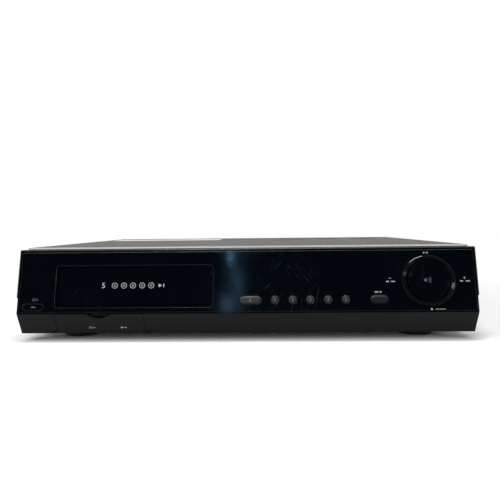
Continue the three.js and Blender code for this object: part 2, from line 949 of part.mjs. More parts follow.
addPiece(panel, 'front_board', makeFrontBoard(), 'boardTan');
addPiece(panel, 'display_tube', makeDisplayTube(), 'glass');

// Lower fascia with the port flap. Along the strip, rise runs up its sloping face from the bottom edge.

const stripLean = Math.atan2(stripRecess, stripRise);

function stripPoint(rise, out) {
  const y = behindFront(stripRecess) - rise * Math.sin(stripLean) - out * Math.cos(stripLean);
  const z = footHeight + rise * Math.cos(stripLean) - out * Math.sin(stripLean);
  return [y, z];
}

const portZ = footHeight + ports.rise;
const flapAxis = stripPoint(flap.pinRise, -flap.pinDepth);

function makeLowerFascia() {
  const top = junctionZ - seatGap;
  const topRise = (top - footHeight) / Math.cos(stripLean);
  const rearY = behindFront(fasciaDepth);
  const wall = strip.wall;
  const outer = polygon([stripPoint(0, 0), stripPoint(topRise, 0), [rearY, top], [rearY, footHeight]]);
  const bottomInner = footHeight + strip.flange;
  const topInner = top - strip.flange;
  const hollowFoot = stripPoint((strip.flange - wall * Math.sin(stripLean)) / Math.cos(stripLean), -wall)[0];
  const hollowTopRise = (topInner - footHeight - wall * Math.sin(stripLean)) / Math.cos(stripLean);
  const hollowTop = stripPoint(hollowTopRise, -wall)[0];
  const hollow = polygon([
    [hollowFoot, bottomInner], [hollowTop, topInner], [rearY + overrun, topInner],
    [rearY + overrun, bottomInner],
  ]);
  const inner = strip.halfWidth - wall;
  const shell = build([alongX(outer, -strip.halfWidth, strip.halfWidth)], [alongX(hollow, -inner, inner)]);
  const [left, right] = [flap.left, flap.right];
  const lugShape = polygon([
    [hollowFoot - wall / 2, bottomInner - strip.flange / 2],
    [hollowTop - wall / 2, topInner + strip.flange / 2],
    [behindFront(strip.lugDepth), topInner + strip.flange / 2],
    [behindFront(strip.lugDepth), bottomInner - strip.flange / 2],
  ]);
  const backWall = box(
    left - strip.lug, right + strip.lug, behindFront(strip.backWallStart), behindFront(strip.lugDepth),
    bottomInner - strip.flange / 2, topInner + strip.flange / 2,
  );
  const mouth = polygon([
    [frontY - overrun, footHeight - overrun], [frontY - overrun, junctionZ + overrun],
    [behindFront(strip.topFlangeCut), junctionZ + overrun], [behindFront(strip.topFlangeCut), topInner],
    [behindFront(strip.bottomFlangeStart), topInner],
    [behindFront(strip.bottomFlangeStart), footHeight - overrun],
  ]);
  const pinReach = overrun + strip.lug;
  const pinCutter = disc(0, 0, left - pinReach, right + pinReach, pivotHoleRadius, 12);
  const pinHole = layAlongX(pinCutter, 0, ...flapAxis);
  const uprightNotch = box(
    -inner, ports.uprightRight + overrun, behindFront(ports.boardDepth) - overrun, rearY + overrun,
    topInner - overrun, top + overrun,
  );
  const usbHole = box(
    usb.x - usb.width / 2 - usb.holeGap, usb.x + usb.width / 2 + usb.holeGap,
    behindFront(ports.front), behindFront(ports.boardDepth),
    portZ - usb.height / 2 - usb.holeGap, portZ + usb.height / 2 + usb.holeGap,
  );
  const audioHole = layAlongY(
    disc(0, 0, ports.front, ports.boardDepth, audio.barrelRadius + usb.holeGap, 16), audio.x, frontY, portZ,
  );
  return build(
    [
      build(
        [shell, alongX(lugShape, left - strip.lug, left), alongX(lugShape, right, right + strip.lug)],
        [alongX(mouth, left, right)],
      ),
      backWall,
    ],
    [pinHole, usbHole, audioHole, uprightNotch],
  );
}

function makePortFlap() {
  const topRise = (stripRise - flap.topGap) / Math.cos(stripLean);
  const backRise = topRise - flap.thickness * Math.tan(stripLean);
  const section = polygon([
    stripPoint(flap.bottomRise, 0), stripPoint(topRise, 0), stripPoint(backRise, -flap.thickness),
    stripPoint(flap.bottomRise, -flap.thickness),
  ]);
  const [left, right] = [flap.left + flap.sideGap, flap.right - flap.sideGap];
  const pinEnd = flap.pinLength + flap.sideGap;
  const pin = layAlongX(disc(0, 0, left - pinEnd, right + pinEnd, flap.pinRadius, 10), 0, ...flapAxis);
  const notch = new THREE.Shape();
  notch.moveTo(flap.notchX - flap.notchHalfWidth, overrun);
  notch.quadraticCurveTo(flap.notchX, -2 * flap.notchDepth, flap.notchX + flap.notchHalfWidth, overrun);
  const lens = alongZ(notch, -flap.thickness * 2, overrun, 12);
  lens.rotateX(Math.PI / 2 + stripLean);
  const [y, z] = stripPoint(topRise, 0);
  return build([alongX(section, left, right), pin], [lens.translate(0, y, z)]);
}

function makePortBoard() {
  const front = behindFront(ports.boardDepth);
  const rearFace = front + ports.boardThickness;
  const left = -unitWidth / 2 + frame.cheek + runningGap + seatGap;
  const low = footHeight + strip.flange + seatGap;
  const lowTop = junctionZ - strip.flange - 2 * seatGap;
  const plate = box(left, flap.right + strip.lug, front, rearFace, low, lowTop);
  const upright = box(left, ports.uprightRight, front, rearFace, low, ports.uprightTop);
  const { x, rise, tail } = buttonSizes.power_button;
  const [buttonY, buttonZ] = panelPoint(rise, -tail - 2 * keySwitch.gap);
  const reach = front - buttonY;
  const plunger = layAlongY(disc(0, 0, 0, reach + overrun, keySwitch.plungerRadius, 8), x, buttonY, buttonZ);
  const body = box(
    audio.x - audio.width / 2, audio.x + audio.width / 2, behindFront(strip.lugDepth) + seatGap,
    front + ports.boardThickness / 2, portZ - audio.height / 2, portZ + audio.height / 2,
  );
  const face = behindFront(ports.front);
  const barrelLength = ports.boardDepth - ports.front;
  const barrel = layAlongY(disc(0, 0, 0, barrelLength, audio.barrelRadius, 16), audio.x, face, portZ);
  const bore = layAlongY(disc(0, 0, -overrun, audio.boreDepth, audio.boreRadius, 12), audio.x, face, portZ);
  return build([plate, upright, plunger, body, barrel], [bore]);
}

function makeUsbPort() {
  const [y0, y1] = [behindFront(ports.front), behindFront(ports.boardDepth) - seatGap];
  const [w, h] = [usb.width / 2, usb.height / 2];
  const shell = box(usb.x - w, usb.x + w, y0, y1, portZ - h, portZ + h);
  const hollow = box(
    usb.x - w + usb.wall, usb.x + w - usb.wall, y0 - overrun, y1 - 2 * usb.wall,
    portZ - h + usb.wall, portZ + h - usb.wall,
  );
  const tongueTop = portZ + h - 2 * usb.wall;
  const tongue = box(
    usb.x - usb.tongueWidth / 2, usb.x + usb.tongueWidth / 2, y0 + usb.wall, y1 - usb.wall,
    tongueTop - usb.tongueHeight, tongueTop,
  );
  return build([build([shell], [hollow]), tongue]);
}

addPiece(unit, 'lower_fascia', makeLowerFascia(), 'charcoal');
addPiece(unit, 'port_flap', makePortFlap(), 'charcoal');
addPiece(unit, 'port_board', makePortBoard(), 'boardTan');
addPiece(unit, 'usb_port', makeUsbPort(), 'zincSteel');

// Case: cover, base, rear panel and feet

function makeCover() {
  const { halfWidth, wall, bendRadius, bottom } = cover;
  const section = (half, top, low, radius) => {
    const shape = new THREE.Shape();
    shape.moveTo(-half, low);
    shape.lineTo(half, low);
    shape.lineTo(half, top - radius);
    shape.absarc(half - radius, top - radius, radius, 0, Math.PI / 2);
    shape.lineTo(-half + radius, top);
    shape.absarc(-half + radius, top - radius, radius, Math.PI / 2, Math.PI);
    return shape;
  };
  const [y0, y1] = [behindFront(cover.front), behindFront(cover.rear)];
  const outer = alongY(section(halfWidth, coverTopZ, bottom, bendRadius), y0, y1);
  const inner = section(halfWidth - wall, coverTopZ - wall, bottom - overrun, bendRadius - wall);
  const hollow = alongY(inner, y0 - overrun, y1 + overrun);
  const lipY = behindFront(cover.lipFront);
  const lipZ = panelTopZ + cover.lipRise;
  const lip = polygon([
    [y0 + wall / 2, coverTopZ], [y0, coverTopZ], [lipY, lipZ], [lipY + cover.lipThickness, lipZ],
    [y0 + wall / 2, coverTopZ - wall],
  ]);
  const lipHalf = halfWidth - bendRadius;
  const slots = [];
  for (let column = 0; column < coverSlotColumns; column += 1) {
    for (let row = 0; row < coverSlotRows; row += 1) {
      const x = cover.slotFirstX + column * cover.slotColumnPitch;
      const y = behindFront(cover.slotFirstY + row * cover.slotPitch);
      const half = cover.slotLength / 2;
      slots.push(box(x - half, x + half, y, y + cover.slotWidth, coverTopZ - 2 * wall, coverTopZ + overrun));
    }
  }
  for (let i = 0; i < sideSlotCount; i += 1) {
    const y = behindFront(cover.sideSlotFirstY + i * cover.sideSlotPitch);
    const z = cover.sideSlotBottom;
    const reach = halfWidth + overrun;
    slots.push(box(-reach, reach, y, y + cover.slotWidth, z, z + cover.sideSlotLength));
  }
  const sideClip = box(
    -unitWidth, unitWidth, y0 - overrun, behindFront(fasciaDepth) + seatGap, -overrun, panelTopZ + seatGap,
  );
  return build([build([outer], [hollow, sideClip]), alongX(lip, -lipHalf, lipHalf)], slots);
}

function boardPosts({ left, right, front, rear: back }, inset) {
  const places = [];
  for (const x of [left + inset, right - inset]) {
    for (const y of [front + inset, back - inset]) places.push([x, behindFront(y)]);
  }
  return places;
}

const boardInset = 6;
const boardZ = floorTopZ + base.postHeight + seatGap;

function makeBase() {
  const { halfWidth, wall, front, rear: back, frontFlange, sideFlange, postRadius, postHeight } = base;
  const [y0, y1] = [behindFront(front), behindFront(back)];
  const floor = box(-halfWidth, halfWidth, y0, y1, footHeight, floorTopZ);
  const sides = [-halfWidth, halfWidth - wall].map((x) =>
    box(x, x + wall, y0, y1, footHeight, floorTopZ + sideFlange));
  const flange = box(-halfWidth, halfWidth, y0, y0 + wall, footHeight, floorTopZ + frontFlange);
  const posts = [mainBoard, powerBoard, ampBoard].flatMap((board) => boardPosts(board, boardInset));
  const postSolids = posts.map(([x, y]) =>
    disc(x, y, floorTopZ - wall / 2, floorTopZ + postHeight, postRadius, 8));
  const slots = [];
  for (let i = 0; i < baseSlotCount; i += 1) {
    const x = base.slotFirstX + i * base.slotPitch;
    const y = behindFront(base.slotY - base.slotLength / 2);
    const [low, high] = [footHeight - overrun, floorTopZ + overrun];
    slots.push(box(x, x + base.slotWidth, y, y + base.slotLength, low, high));
  }
  return build([floor, ...sides, flange, ...postSolids], slots);
}

function makeFoot(x, y) {
  const { radius, topRadius, bossRadius, recess, edge } = foot;
  const top = footHeight - seatGap;
  return turned([
    [0, recess], [bossRadius, recess], [bossRadius, 0], [radius - edge, 0], [radius, edge], [topRadius, top],
    [0, top],
  ], 16, x, y);
}

function grilleCutters() {
  const cutters = [];
  for (let i = 0; i < grilleSlots; i += 1) {
    const offset = (i - (grilleSlots - 1) / 2) * grille.slotPitch;
    const half = Math.sqrt(grille.radius ** 2 - offset ** 2);
    const x = fan.x + offset;
    cutters.push(box(
      x - grille.slotWidth / 2, x + grille.slotWidth / 2, behindFront(rear.front) - overrun,
      behindFront(rearOuter) + overrun, fan.z - half, fan.z + half,
    ));
  }
  return cutters;
}

function connectorCutter({ x, z, width, height }) {
  const [halfX, halfZ] = [width / 2 + seatGap, height / 2 + seatGap];
  return box(
    x - halfX, x + halfX, behindFront(rear.front) - overrun, behindFront(rearOuter) + overrun,
    z - halfZ, z + halfZ,
  );
}

function makeRearPanel() {
  const [y0, y1] = [behindFront(rear.front), behindFront(rearOuter)];
  const top = coverTopZ - cover.wall - rear.topGap;
  const plate = box(-rear.halfWidth, rear.halfWidth, y0, y1, floorTopZ + rear.bottomGap, top);
  const cordHole = layAlongY(
    disc(0, 0, -overrun, rear.wall + overrun, cord.reliefRadius + seatGap, 16), cord.exitX, y0, cord.exitZ,
  );
  return build([plate], [...grilleCutters(), ...[speaker, avBlock, aerial].map(connectorCutter), cordHole]);
}

addPiece(unit, 'top_cover', makeCover(), 'coverBlack');
addPiece(unit, 'chassis_base', makeBase(), 'zincSteel');
addPiece(unit, 'rear_panel', makeRearPanel(), 'coverBlack');
for (const [side, x] of [['left', -foot.x], ['right', foot.x]]) {
  for (const [end, y] of [['front', foot.endInset], ['rear', fromRear(foot.endInset)]]) {
    addPiece(unit, `foot_${end}_${side}`, makeFoot(x, behindFront(y)), 'rubber');
  }
}

// Disc changer: trays with racks, changer frame with rails, drive and playing deck

const rackX = tray.halfWidth;
const rackPitch = rack.pitch;
const pinionRadius = (pinionTeeth * rackPitch) / (2 * Math.PI);
const rackRoot = rackX - rack.depth;
const pitchLineX = rackX - rack.depth / 2;
const pinionX = door.centreX + pitchLineX + pinionRadius;

// Outline of a tray in (x, y) from its own front edge, with the rack's teeth on its right side
function trayOutline() {
  const { halfWidth, length, bodyLength, tailWidth, cornerRadius } = tray;
  const shape = new THREE.Shape();
  shape.moveTo(-halfWidth + cornerRadius, 0);
  shape.lineTo(rackRoot - cornerRadius, 0);
  shape.absarc(rackRoot - cornerRadius, cornerRadius, cornerRadius, -Math.PI / 2, 0);
  const first = cornerRadius + rack.start;
  for (let i = 0; i < rack.toothCount; i += 1) {
    const y = first + (i - rack.rootShare / 2) * rackPitch;
    const inset = ((rack.rootShare - rack.tipShare) / 2) * rackPitch;
    if (y + rack.rootShare * rackPitch > length) break;
    shape.lineTo(rackRoot, y);
    shape.lineTo(rackX, y + inset);
    shape.lineTo(rackX, y + inset + rack.tipShare * rackPitch);
    shape.lineTo(rackRoot, y + rack.rootShare * rackPitch);
  }
  shape.lineTo(rackRoot, length);
  shape.lineTo(rackRoot - tailWidth, length);
  shape.lineTo(rackRoot - tailWidth, bodyLength);
  shape.lineTo(-halfWidth + tailWidth, bodyLength);
  shape.lineTo(-halfWidth + tailWidth, length);
  shape.lineTo(-halfWidth, length);
  shape.lineTo(-halfWidth, cornerRadius);
  shape.absarc(-halfWidth + cornerRadius, cornerRadius, cornerRadius, Math.PI, 1.5 * Math.PI);
  return shape;
}

function makeTray() {
  const centreY = tray.frontRim + tray.recessRadius;
  const body = alongZ(trayOutline(), 0, tray.thickness, 3);
  const recessZ = tray.thickness - tray.recessDepth;
  const recess = disc(0, centreY, recessZ, tray.thickness + overrun, tray.recessRadius, 26);
  const slotLength = tray.slotFront + tray.slotRear;
  const slotMiddle = centreY - (tray.slotFront - tray.slotRear) / 2;
  const slotCorner = tray.slotRear - tray.frontRim / 2;
  const slot = roundedRect(0, slotMiddle, 2 * tray.slotHalfWidth, slotLength, slotCorner, 3);
  return build([body], [recess, alongZ(slot, -overrun, tray.thickness + overrun)]);
}

const trayGeometry = makeTray();
for (let i = 0; i < discCount; i += 1) {
  const piece = addPiece(unit, `disc_tray_${i + 1}`, trayGeometry, 'blackPlastic');
  piece.position.set(door.centreX, behindFront(tray.front), tray.rise - i * tray.pitch);
}

const changerFloorZ = floorTopZ + changer.floorLift;
const wallInner = tray.halfWidth + changer.wallGap;

function makeChangerFrame() {
  const outer = wallInner + changer.wall;
  const floorTop = changerFloorZ + changer.floorThickness;
  const top = changer.top;
  const [left, right] = [door.centreX - outer, door.centreX + outer];
  const parts = [
    box(left, right, behindFront(changer.front), behindFront(changer.stockRear), changerFloorZ, floorTop),
  ];
  const guide = (y0, y1, levels, wallTop) => {
    for (const side of [-1, 1]) {
      const near = door.centreX + side * wallInner;
      const far = door.centreX + side * outer;
      const low = changerFloorZ + changer.floorThickness / 2;
      const [wallLeft, wallRight] = [Math.min(near, far), Math.max(near, far)];
      parts.push(box(wallLeft, wallRight, behindFront(y0), behindFront(y1), low, wallTop));
      for (let level = 0; level < levels; level += 1) {
        const z = tray.rise - level * tray.pitch - seatGap;
        const tip = door.centreX + side * (wallInner - changer.ledge - (side > 0 ? rack.depth : 0));
        parts.push(box(
          Math.min(tip, far), Math.max(tip, far), behindFront(y0), behindFront(y1),
          z - changer.ledgeThickness, z,
        ));
      }
    }
  };
  guide(changer.stockFront, changer.stockRear, discCount, changer.top);
  guide(gear.frontY + pinionRadius + rack.depth + runningGap, bridge.rear, 1, changer.top);
  const postTop = footHeight + deck.rise - seatGap;
  const postFoot = changerFloorZ + changer.floorThickness / 2;
  for (const x of [-deck.halfWidth + boardInset, deck.halfWidth - boardInset]) {
    for (const y of [changer.front + deck.postInset, deck.rear - boardInset]) {
      parts.push(disc(door.centreX + x, behindFront(y), postFoot, postTop, changer.deckPostRadius, 10));
    }
  }
  for (const x of [left + boardInset, right - boardInset]) {
    for (const y of [changer.front + boardInset, changer.stockRear - boardInset]) {
      parts.push(disc(x, behindFront(y), floorTopZ + seatGap, floorTop, changer.footRadius, 10));
    }
  }
  return build(parts);
}

addPiece(unit, 'changer_frame', makeChangerFrame(), 'greyPlastic');

// A toothed wheel about Z at the origin; its first tooth points along -X.
function toothed(teeth, pitchRadius, depth, z0, z1) {
  const points = [];
  const step = (2 * Math.PI) / teeth;
  const middleRadius = pitchRadius - gear.faceGap / 2;
  const [tip, root] = [middleRadius + depth / 2, middleRadius - depth / 2];
  const { tipShare, rootShare } = gear;
  const corners = [[root, -rootShare / 2], [tip, -tipShare / 2], [tip, tipShare / 2], [root, rootShare / 2]];
  for (let i = 0; i < teeth; i += 1) {
    const middle = Math.PI + i * step;
    for (const [radius, share] of corners) {
      const angle = middle + share * step * (radius === tip ? pitchRadius / tip : 1);
      points.push([radius * Math.cos(angle), radius * Math.sin(angle)]);
    }
  }
  return alongZ(polygon(points), z0, z1);
}

const pinionZ = tray.rise + (tray.thickness - gear.pinionThickness) / 2;
const pulleyZ = pinionZ - gear.pulleyThickness - seatGap;
const wheelZ = pulleyZ - gear.wheelThickness;
const wheelRadius = (gear.wheelModule * wheelTeeth) / 2;
const motorRadius = (gear.wheelModule * motorTeeth) / 2;
const motorY = gear.rearY - wheelRadius - motorRadius;
const rackFirstTooth = tray.front + tray.cornerRadius + rack.start;

// Turn that brings a pinion's gap to the rack's tooth at distance y behind the front
function meshTurn(y) {
  const travel = (y - rackFirstTooth) / rackPitch;
  return ((travel - Math.floor(travel) - 0.5) * 2 * Math.PI) / pinionTeeth;
}

function makeDriveGear(y, withWheel) {
  const top = pinionZ + gear.pinionThickness;
  const pinion = toothed(pinionTeeth, pinionRadius, gear.toothDepth, pinionZ, top).rotateZ(meshTurn(y));
  const { pulleyRadius, grooveRadius, pulleyThickness, boreRadius } = gear;
  const rim = (pulleyThickness - belt.width) / 2 - seatGap;
  const low = withWheel ? wheelZ : pulleyZ;
  const hub = turned([
    [0, low], [pulleyRadius, low], [pulleyRadius, pulleyZ + rim], [grooveRadius, pulleyZ + rim],
    [grooveRadius, pulleyZ + pulleyThickness - rim], [pulleyRadius, pulleyZ + pulleyThickness - rim],
    [pulleyRadius, top], [0, top],
  ], 12);
  const parts = [hub, pinion];
  if (withWheel) {
    const wheelTop = wheelZ + gear.wheelThickness;
    const wheel = toothed(wheelTeeth, wheelRadius, gear.wheelToothDepth, wheelZ, wheelTop);
    parts.push(wheel.rotateZ(Math.PI / 2));
  }
  const bore = disc(0, 0, low - overrun, top + overrun, boreRadius, 8);
  return build(parts, [bore]).translate(pinionX, behindFront(y), 0);
}

function makeMotorPinion() {
  const halfTooth = Math.PI / motorTeeth;
  const body = toothed(motorTeeth, motorRadius, gear.wheelToothDepth, wheelZ, wheelZ + gear.wheelThickness);
  body.rotateZ(-Math.PI / 2 + halfTooth);
  const boreTop = wheelZ + gear.wheelThickness + overrun;
  const bore = disc(0, 0, wheelZ - overrun, boreTop, loadingMotor.shaftRadius + seatGap, 8);
  return build([body], [bore]).translate(pinionX, behindFront(motorY), 0);
}

function makeBelt() {
  const z0 = pulleyZ + (gear.pulleyThickness - belt.width) / 2;
  const inner = gear.grooveRadius + seatGap;
  const outer = inner + belt.thickness;
  const middle = (gear.rearY + gear.frontY) / 2;
  const span = gear.rearY - gear.frontY;
  const loop = roundedRect(pinionX, behindFront(middle), 2 * outer, span + 2 * outer, outer);
  loop.holes.push(roundedRect(pinionX, behindFront(middle), 2 * inner, span + 2 * inner, inner));
  return alongZ(loop, z0, z0 + belt.width, 6);
}

function makeBracket() {
  const top = wheelZ - gear.faceGap;
  const plateLow = top - bracket.thickness;
  const [x0, x1] = [door.centreX + bracket.left, door.centreX + bracket.right];
  const [y0, y1] = [behindFront(bracket.front), behindFront(bracket.rear)];
  const plate = box(x0, x1, y0, y1, plateLow, top);
  const half = bracket.legWidth / 2;
  const legs = [y0 + bracket.legInset, y1 - bracket.legInset].map((y) =>
    box(x1 - bracket.legWall, x1, y - half, y + half, floorTopZ + seatGap, top));
  const postTop = pinionZ + gear.pinionThickness + seatGap;
  const posts = [gear.rearY, gear.frontY].map((y) =>
    disc(pinionX, behindFront(y), plateLow, postTop, gear.postRadius, 12));
  const collarTop = pulleyZ - gear.faceGap;
  const spacer = disc(pinionX, behindFront(gear.frontY), plateLow, collarTop, 2 * gear.postRadius, 12);
  const holeRadius = 2 * loadingMotor.shaftRadius;
  const shaftHole = disc(pinionX, behindFront(motorY), plateLow - overrun, top + overrun, holeRadius, 10);
  return build([plate, ...legs, ...posts, spacer], [shaftHole]);
}

function makeLoadingMotor() {
  const top = wheelZ - gear.faceGap - bracket.thickness - seatGap;
  const low = top - loadingMotor.height;
  const { radius, shaftRadius, chamfer } = loadingMotor;
  return turned([
    [0, low], [radius - chamfer, low], [radius, low + chamfer], [radius, top], [shaftRadius, top],
    [shaftRadius, wheelZ + gear.wheelThickness], [0, wheelZ + gear.wheelThickness],
  ], 16, pinionX, behindFront(motorY));
}

addPiece(unit, 'drive_gear_rear', makeDriveGear(gear.rearY, true), 'whitePlastic');
addPiece(unit, 'drive_gear_front', makeDriveGear(gear.frontY, false), 'whitePlastic');
addPiece(unit, 'motor_pinion', makeMotorPinion(), 'whitePlastic');
addPiece(unit, 'drive_belt', makeBelt(), 'rubber');
addPiece(unit, 'drive_bracket', makeBracket(), 'zincSteel');
addPiece(unit, 'loading_motor', makeLoadingMotor(), 'aluminium');

// Playing deck under the top tray's path

const deckZ = footHeight + deck.rise;
const deckTop = deckZ + deck.thickness;

function makeDeck() {
  const { halfWidth, front, rear: back, slotHalfWidth, spindleY } = deck;
  const { rodRadius, rodX, rodRise, rodBlock, rodBlockDepth } = deck;
  const plate = box(-halfWidth, halfWidth, front, back, deckZ, deckTop);
  const slotFront = front + rodBlock;
  const slotRear = spindleY - spindle.radius - rodBlock / 2;
  const slot = box(-slotHalfWidth, slotHalfWidth, slotFront, slotRear, deckZ - overrun, deckTop + overrun);
  const parts = [];
  const rodEnd = spindleY - spindle.radius;
  for (const side of [-1, 1]) {
    const x = side * rodX;
    const rod = disc(0, 0, front + rodBlockDepth / 2, rodEnd, rodRadius, 8);
    parts.push(layAlongY(rod, x, 0, deckTop + rodRise));
    const [low, high] = [deckZ + deck.thickness / 2, deckTop + rodRise + rodRadius];
    for (const y of [front, rodEnd - rodBlockDepth + seatGap]) {
      parts.push(box(x - rodBlock / 2, x + rodBlock / 2, y, y + rodBlockDepth, low, high));
    }
  }
  return build([build([plate], [slot]), ...parts]).translate(door.centreX, frontY, 0);
}

function makeSpindleMotor() {
  const low = deckTop + seatGap;
  const top = low + spindle.height;
  const shaftTop = top + turntable.height;
  return turned([
    [0, low], [spindle.radius, low], [spindle.radius, top], [spindle.shaftRadius, top],
    [spindle.shaftRadius, shaftTop], [0, shaftTop],
  ], 16, door.centreX, behindFront(deck.spindleY));
}

function makeTurntable() {
  const low = deckTop + spindle.height + 2 * seatGap;
  const top = low + turntable.height;
  const { radius, coneRadius, coneHeight, boreRadius } = turntable;
  return build(
    [turned([
      [0, low], [radius, low], [radius, top - coneHeight], [coneRadius, top - coneHeight],
      [coneRadius, top - coneHeight / 2], [coneRadius / 2, top], [0, top],
    ], 18)],
    [disc(0, 0, low - overrun, top + overrun, boreRadius, 6)],
  ).translate(door.centreX, behindFront(deck.spindleY), 0);
}

function makePickup() {
  const { halfWidth, length, height, y, lift, lensRadius, lensHeight } = pickup;
  const low = deckTop + lift;
  const ears = deck.rodX + deck.rodBlock / 2;
  const rodZ = deckTop + deck.rodRise;
  const body = box(-halfWidth + lift, halfWidth - lift, y, y + length, low, low + height);
  const halfArm = deck.rodBlock / 2;
  const arms = box(-ears, ears, y + length / 4, y + (length * 3) / 4, rodZ - halfArm, rodZ + halfArm);
  const lens = disc(0, y + length / 2, low + height - overrun, low + height + lensHeight, lensRadius, 14);
  const bores = [-1, 1].map((side) => {
    const bore = disc(0, 0, y - overrun, y + length + overrun, deck.rodRadius + seatGap, 8);
    return layAlongY(bore, side * deck.rodX, 0, rodZ);
  });
  return build([body, arms, lens], bores).translate(door.centreX, frontY, 0);
}

function makeBridge() {
  const outer = wallInner + changer.wall;
  const { front, rear: back, rise, thickness, legDrop, holeRadius } = bridge;
  const plate = box(-outer, outer, front, back, rise, rise + thickness);
  const legs = [-outer, outer - changer.wall].map((x) =>
    box(x, x + changer.wall, front, back, changer.top + seatGap, rise + thickness / 2));
  const hole = disc(0, deck.spindleY, rise - legDrop, rise + thickness + overrun, holeRadius, 20);
  return build([plate, ...legs], [hole]).translate(door.centreX, frontY, 0);
}

function makeClamper() {
  const { flangeRadius, neckRadius, padRadius, flangeThickness, padThickness, gap } = clamper;
  const seat = bridge.rise + bridge.thickness + seatGap;
  const under = bridge.rise - gap;
  return turned([
    [0, under - padThickness], [padRadius, under - padThickness], [padRadius, under], [neckRadius, under],
    [neckRadius, seat], [flangeRadius, seat], [flangeRadius, seat + flangeThickness],
    [0, seat + flangeThickness],
  ], 18, door.centreX, behindFront(deck.spindleY));
}

addPiece(unit, 'traverse_deck', makeDeck(), 'zincSteel');
addPiece(unit, 'spindle_motor', makeSpindleMotor(), 'aluminium');
addPiece(unit, 'turntable', makeTurntable(), 'blackPlastic');
addPiece(unit, 'pickup', makePickup(), 'blackPlastic');
addPiece(unit, 'clamp_bridge', makeBridge(), 'zincSteel');
addPiece(unit, 'clamper', makeClamper(), 'whitePlastic');

// Boards, power supply and cooling

const boardTop = boardZ + mainBoard.thickness;

function boardPlate({ left, right, front, rear: back, thickness }) {
  return box(left, right, behindFront(front), behindFront(back), boardZ, boardZ + thickness);
}

function chipOn(x, y, width, height) {
  const [halfX, cy] = [width / 2, behindFront(y)];
  const low = boardTop - mainBoard.thickness / 2;
  return box(x - halfX, x + halfX, cy - halfX, cy + halfX, low, boardTop + height);
}

function canOn(x, y, radius, height) {
  return disc(x, behindFront(y), boardTop - mainBoard.thickness / 2, boardTop + height, radius, 16);
}

const mainChipShares = [[0.3, 0.4], [0.62, 0.62]];
const mainSmallShares = [[0.15, 0.75], [0.5, 0.2], [0.8, 0.3]];
const powerCanShares = [[0.2, 0.72], [0.2, 0.48]];
const powerSmallShares = [[0.5, 0.86], [0.72, 0.86]];

function placed({ left, right, front, rear: back }, [shareX, shareY]) {
  return [left + (right - left) * shareX, front + (back - front) * shareY];
}

function makeMainBoard() {
  const bridgeY = [behindFront(mainBoard.rear) - overrun, behindFront(ampBoard.front) + overrun];
  const neck = box(mainBoard.left, ampBoard.right, ...bridgeY, boardZ, boardTop);
  const ampChipX = (ampBoard.left + sink.left) / 2;
  const ampChip = chipOn(ampChipX, sink.front + chip.width / 2, chip.width, chip.height);
  const chips = mainChipShares.map((share) => chipOn(...placed(mainBoard, share), chip.width, chip.height));
  const small = mainSmallShares.map((share) =>
    chipOn(...placed(mainBoard, share), chip.smallWidth, chip.smallHeight));
  return build([boardPlate(mainBoard), neck, boardPlate(ampBoard), ...chips, ...small, ampChip]);
}

function makePowerBoard() {
  const { radius, height, smallRadius, smallHeight } = capacitor;
  const cans = powerCanShares.map((share) => canOn(...placed(powerBoard, share), radius, height));
  const small = powerSmallShares.map((share) =>
    canOn(...placed(powerBoard, share), smallRadius, smallHeight));
  return build([boardPlate(powerBoard), ...cans, ...small]);
}

function makeTransformer() {
  const { x, y, width, depth, height, coilRadius, coilWidth } = transformer;
  const low = boardTop + seatGap;
  const cy = behindFront(y);
  const core = box(x - width / 2, x + width / 2, cy - depth / 2, cy + depth / 2, low, low + height);
  const reach = (depth - coilWidth) / 4;
  const window = box(
    x - width / 2 - overrun, x + width / 2 + overrun, cy - depth / 2 + reach, cy + depth / 2 - reach,
    low + reach, low + height - reach,
  );
  const halfWinding = (depth - reach) / 2;
  const winding = layAlongY(disc(0, 0, -halfWinding, halfWinding, coilRadius, 18), x, cy, low + height / 2);
  return build([build([core], [window]), winding]);
}

function makeHeatSink() {
  const low = boardTop + seatGap;
  const top = low + sink.height;
  const step = (sink.right - sink.left - sink.finThickness) / (finCount - 1);
  const points = [[sink.left, low], [sink.right, low]];
  for (let i = finCount - 1; i >= 0; i -= 1) {
    const x = sink.left + i * step;
    points.push([x + sink.finThickness, top], [x, top]);
    if (i > 0) points.push([x, low + sink.wall], [x - step + sink.finThickness, low + sink.wall]);
  }
  return alongY(polygon(points), behindFront(sink.front), behindFront(sink.rear));
}

function makeFanFrame() {
  const y1 = behindFront(rear.front) - seatGap;
  const y0 = y1 - fan.depth;
  const square = roundedRect(0, 0, fan.size, fan.size, fan.cornerRadius);
  square.holes.push(oval(0, 0, fan.boreRadius, fan.boreRadius, 24));
  const reach = fan.boreRadius + overrun;
  const half = fan.spokeWidth / 2;
  const hub = layAlongY(disc(0, 0, 0, fan.spokeDepth, fan.hubRadius, 16), 0, y0, 0);
  const parts = [
    alongY(square, y0, y1), hub, box(-reach, reach, y0, y0 + fan.spokeDepth, -half, half),
    box(-half, half, y0, y0 + fan.spokeDepth, -reach, reach),
  ];
  return build(parts).translate(fan.x, 0, fan.z);
}

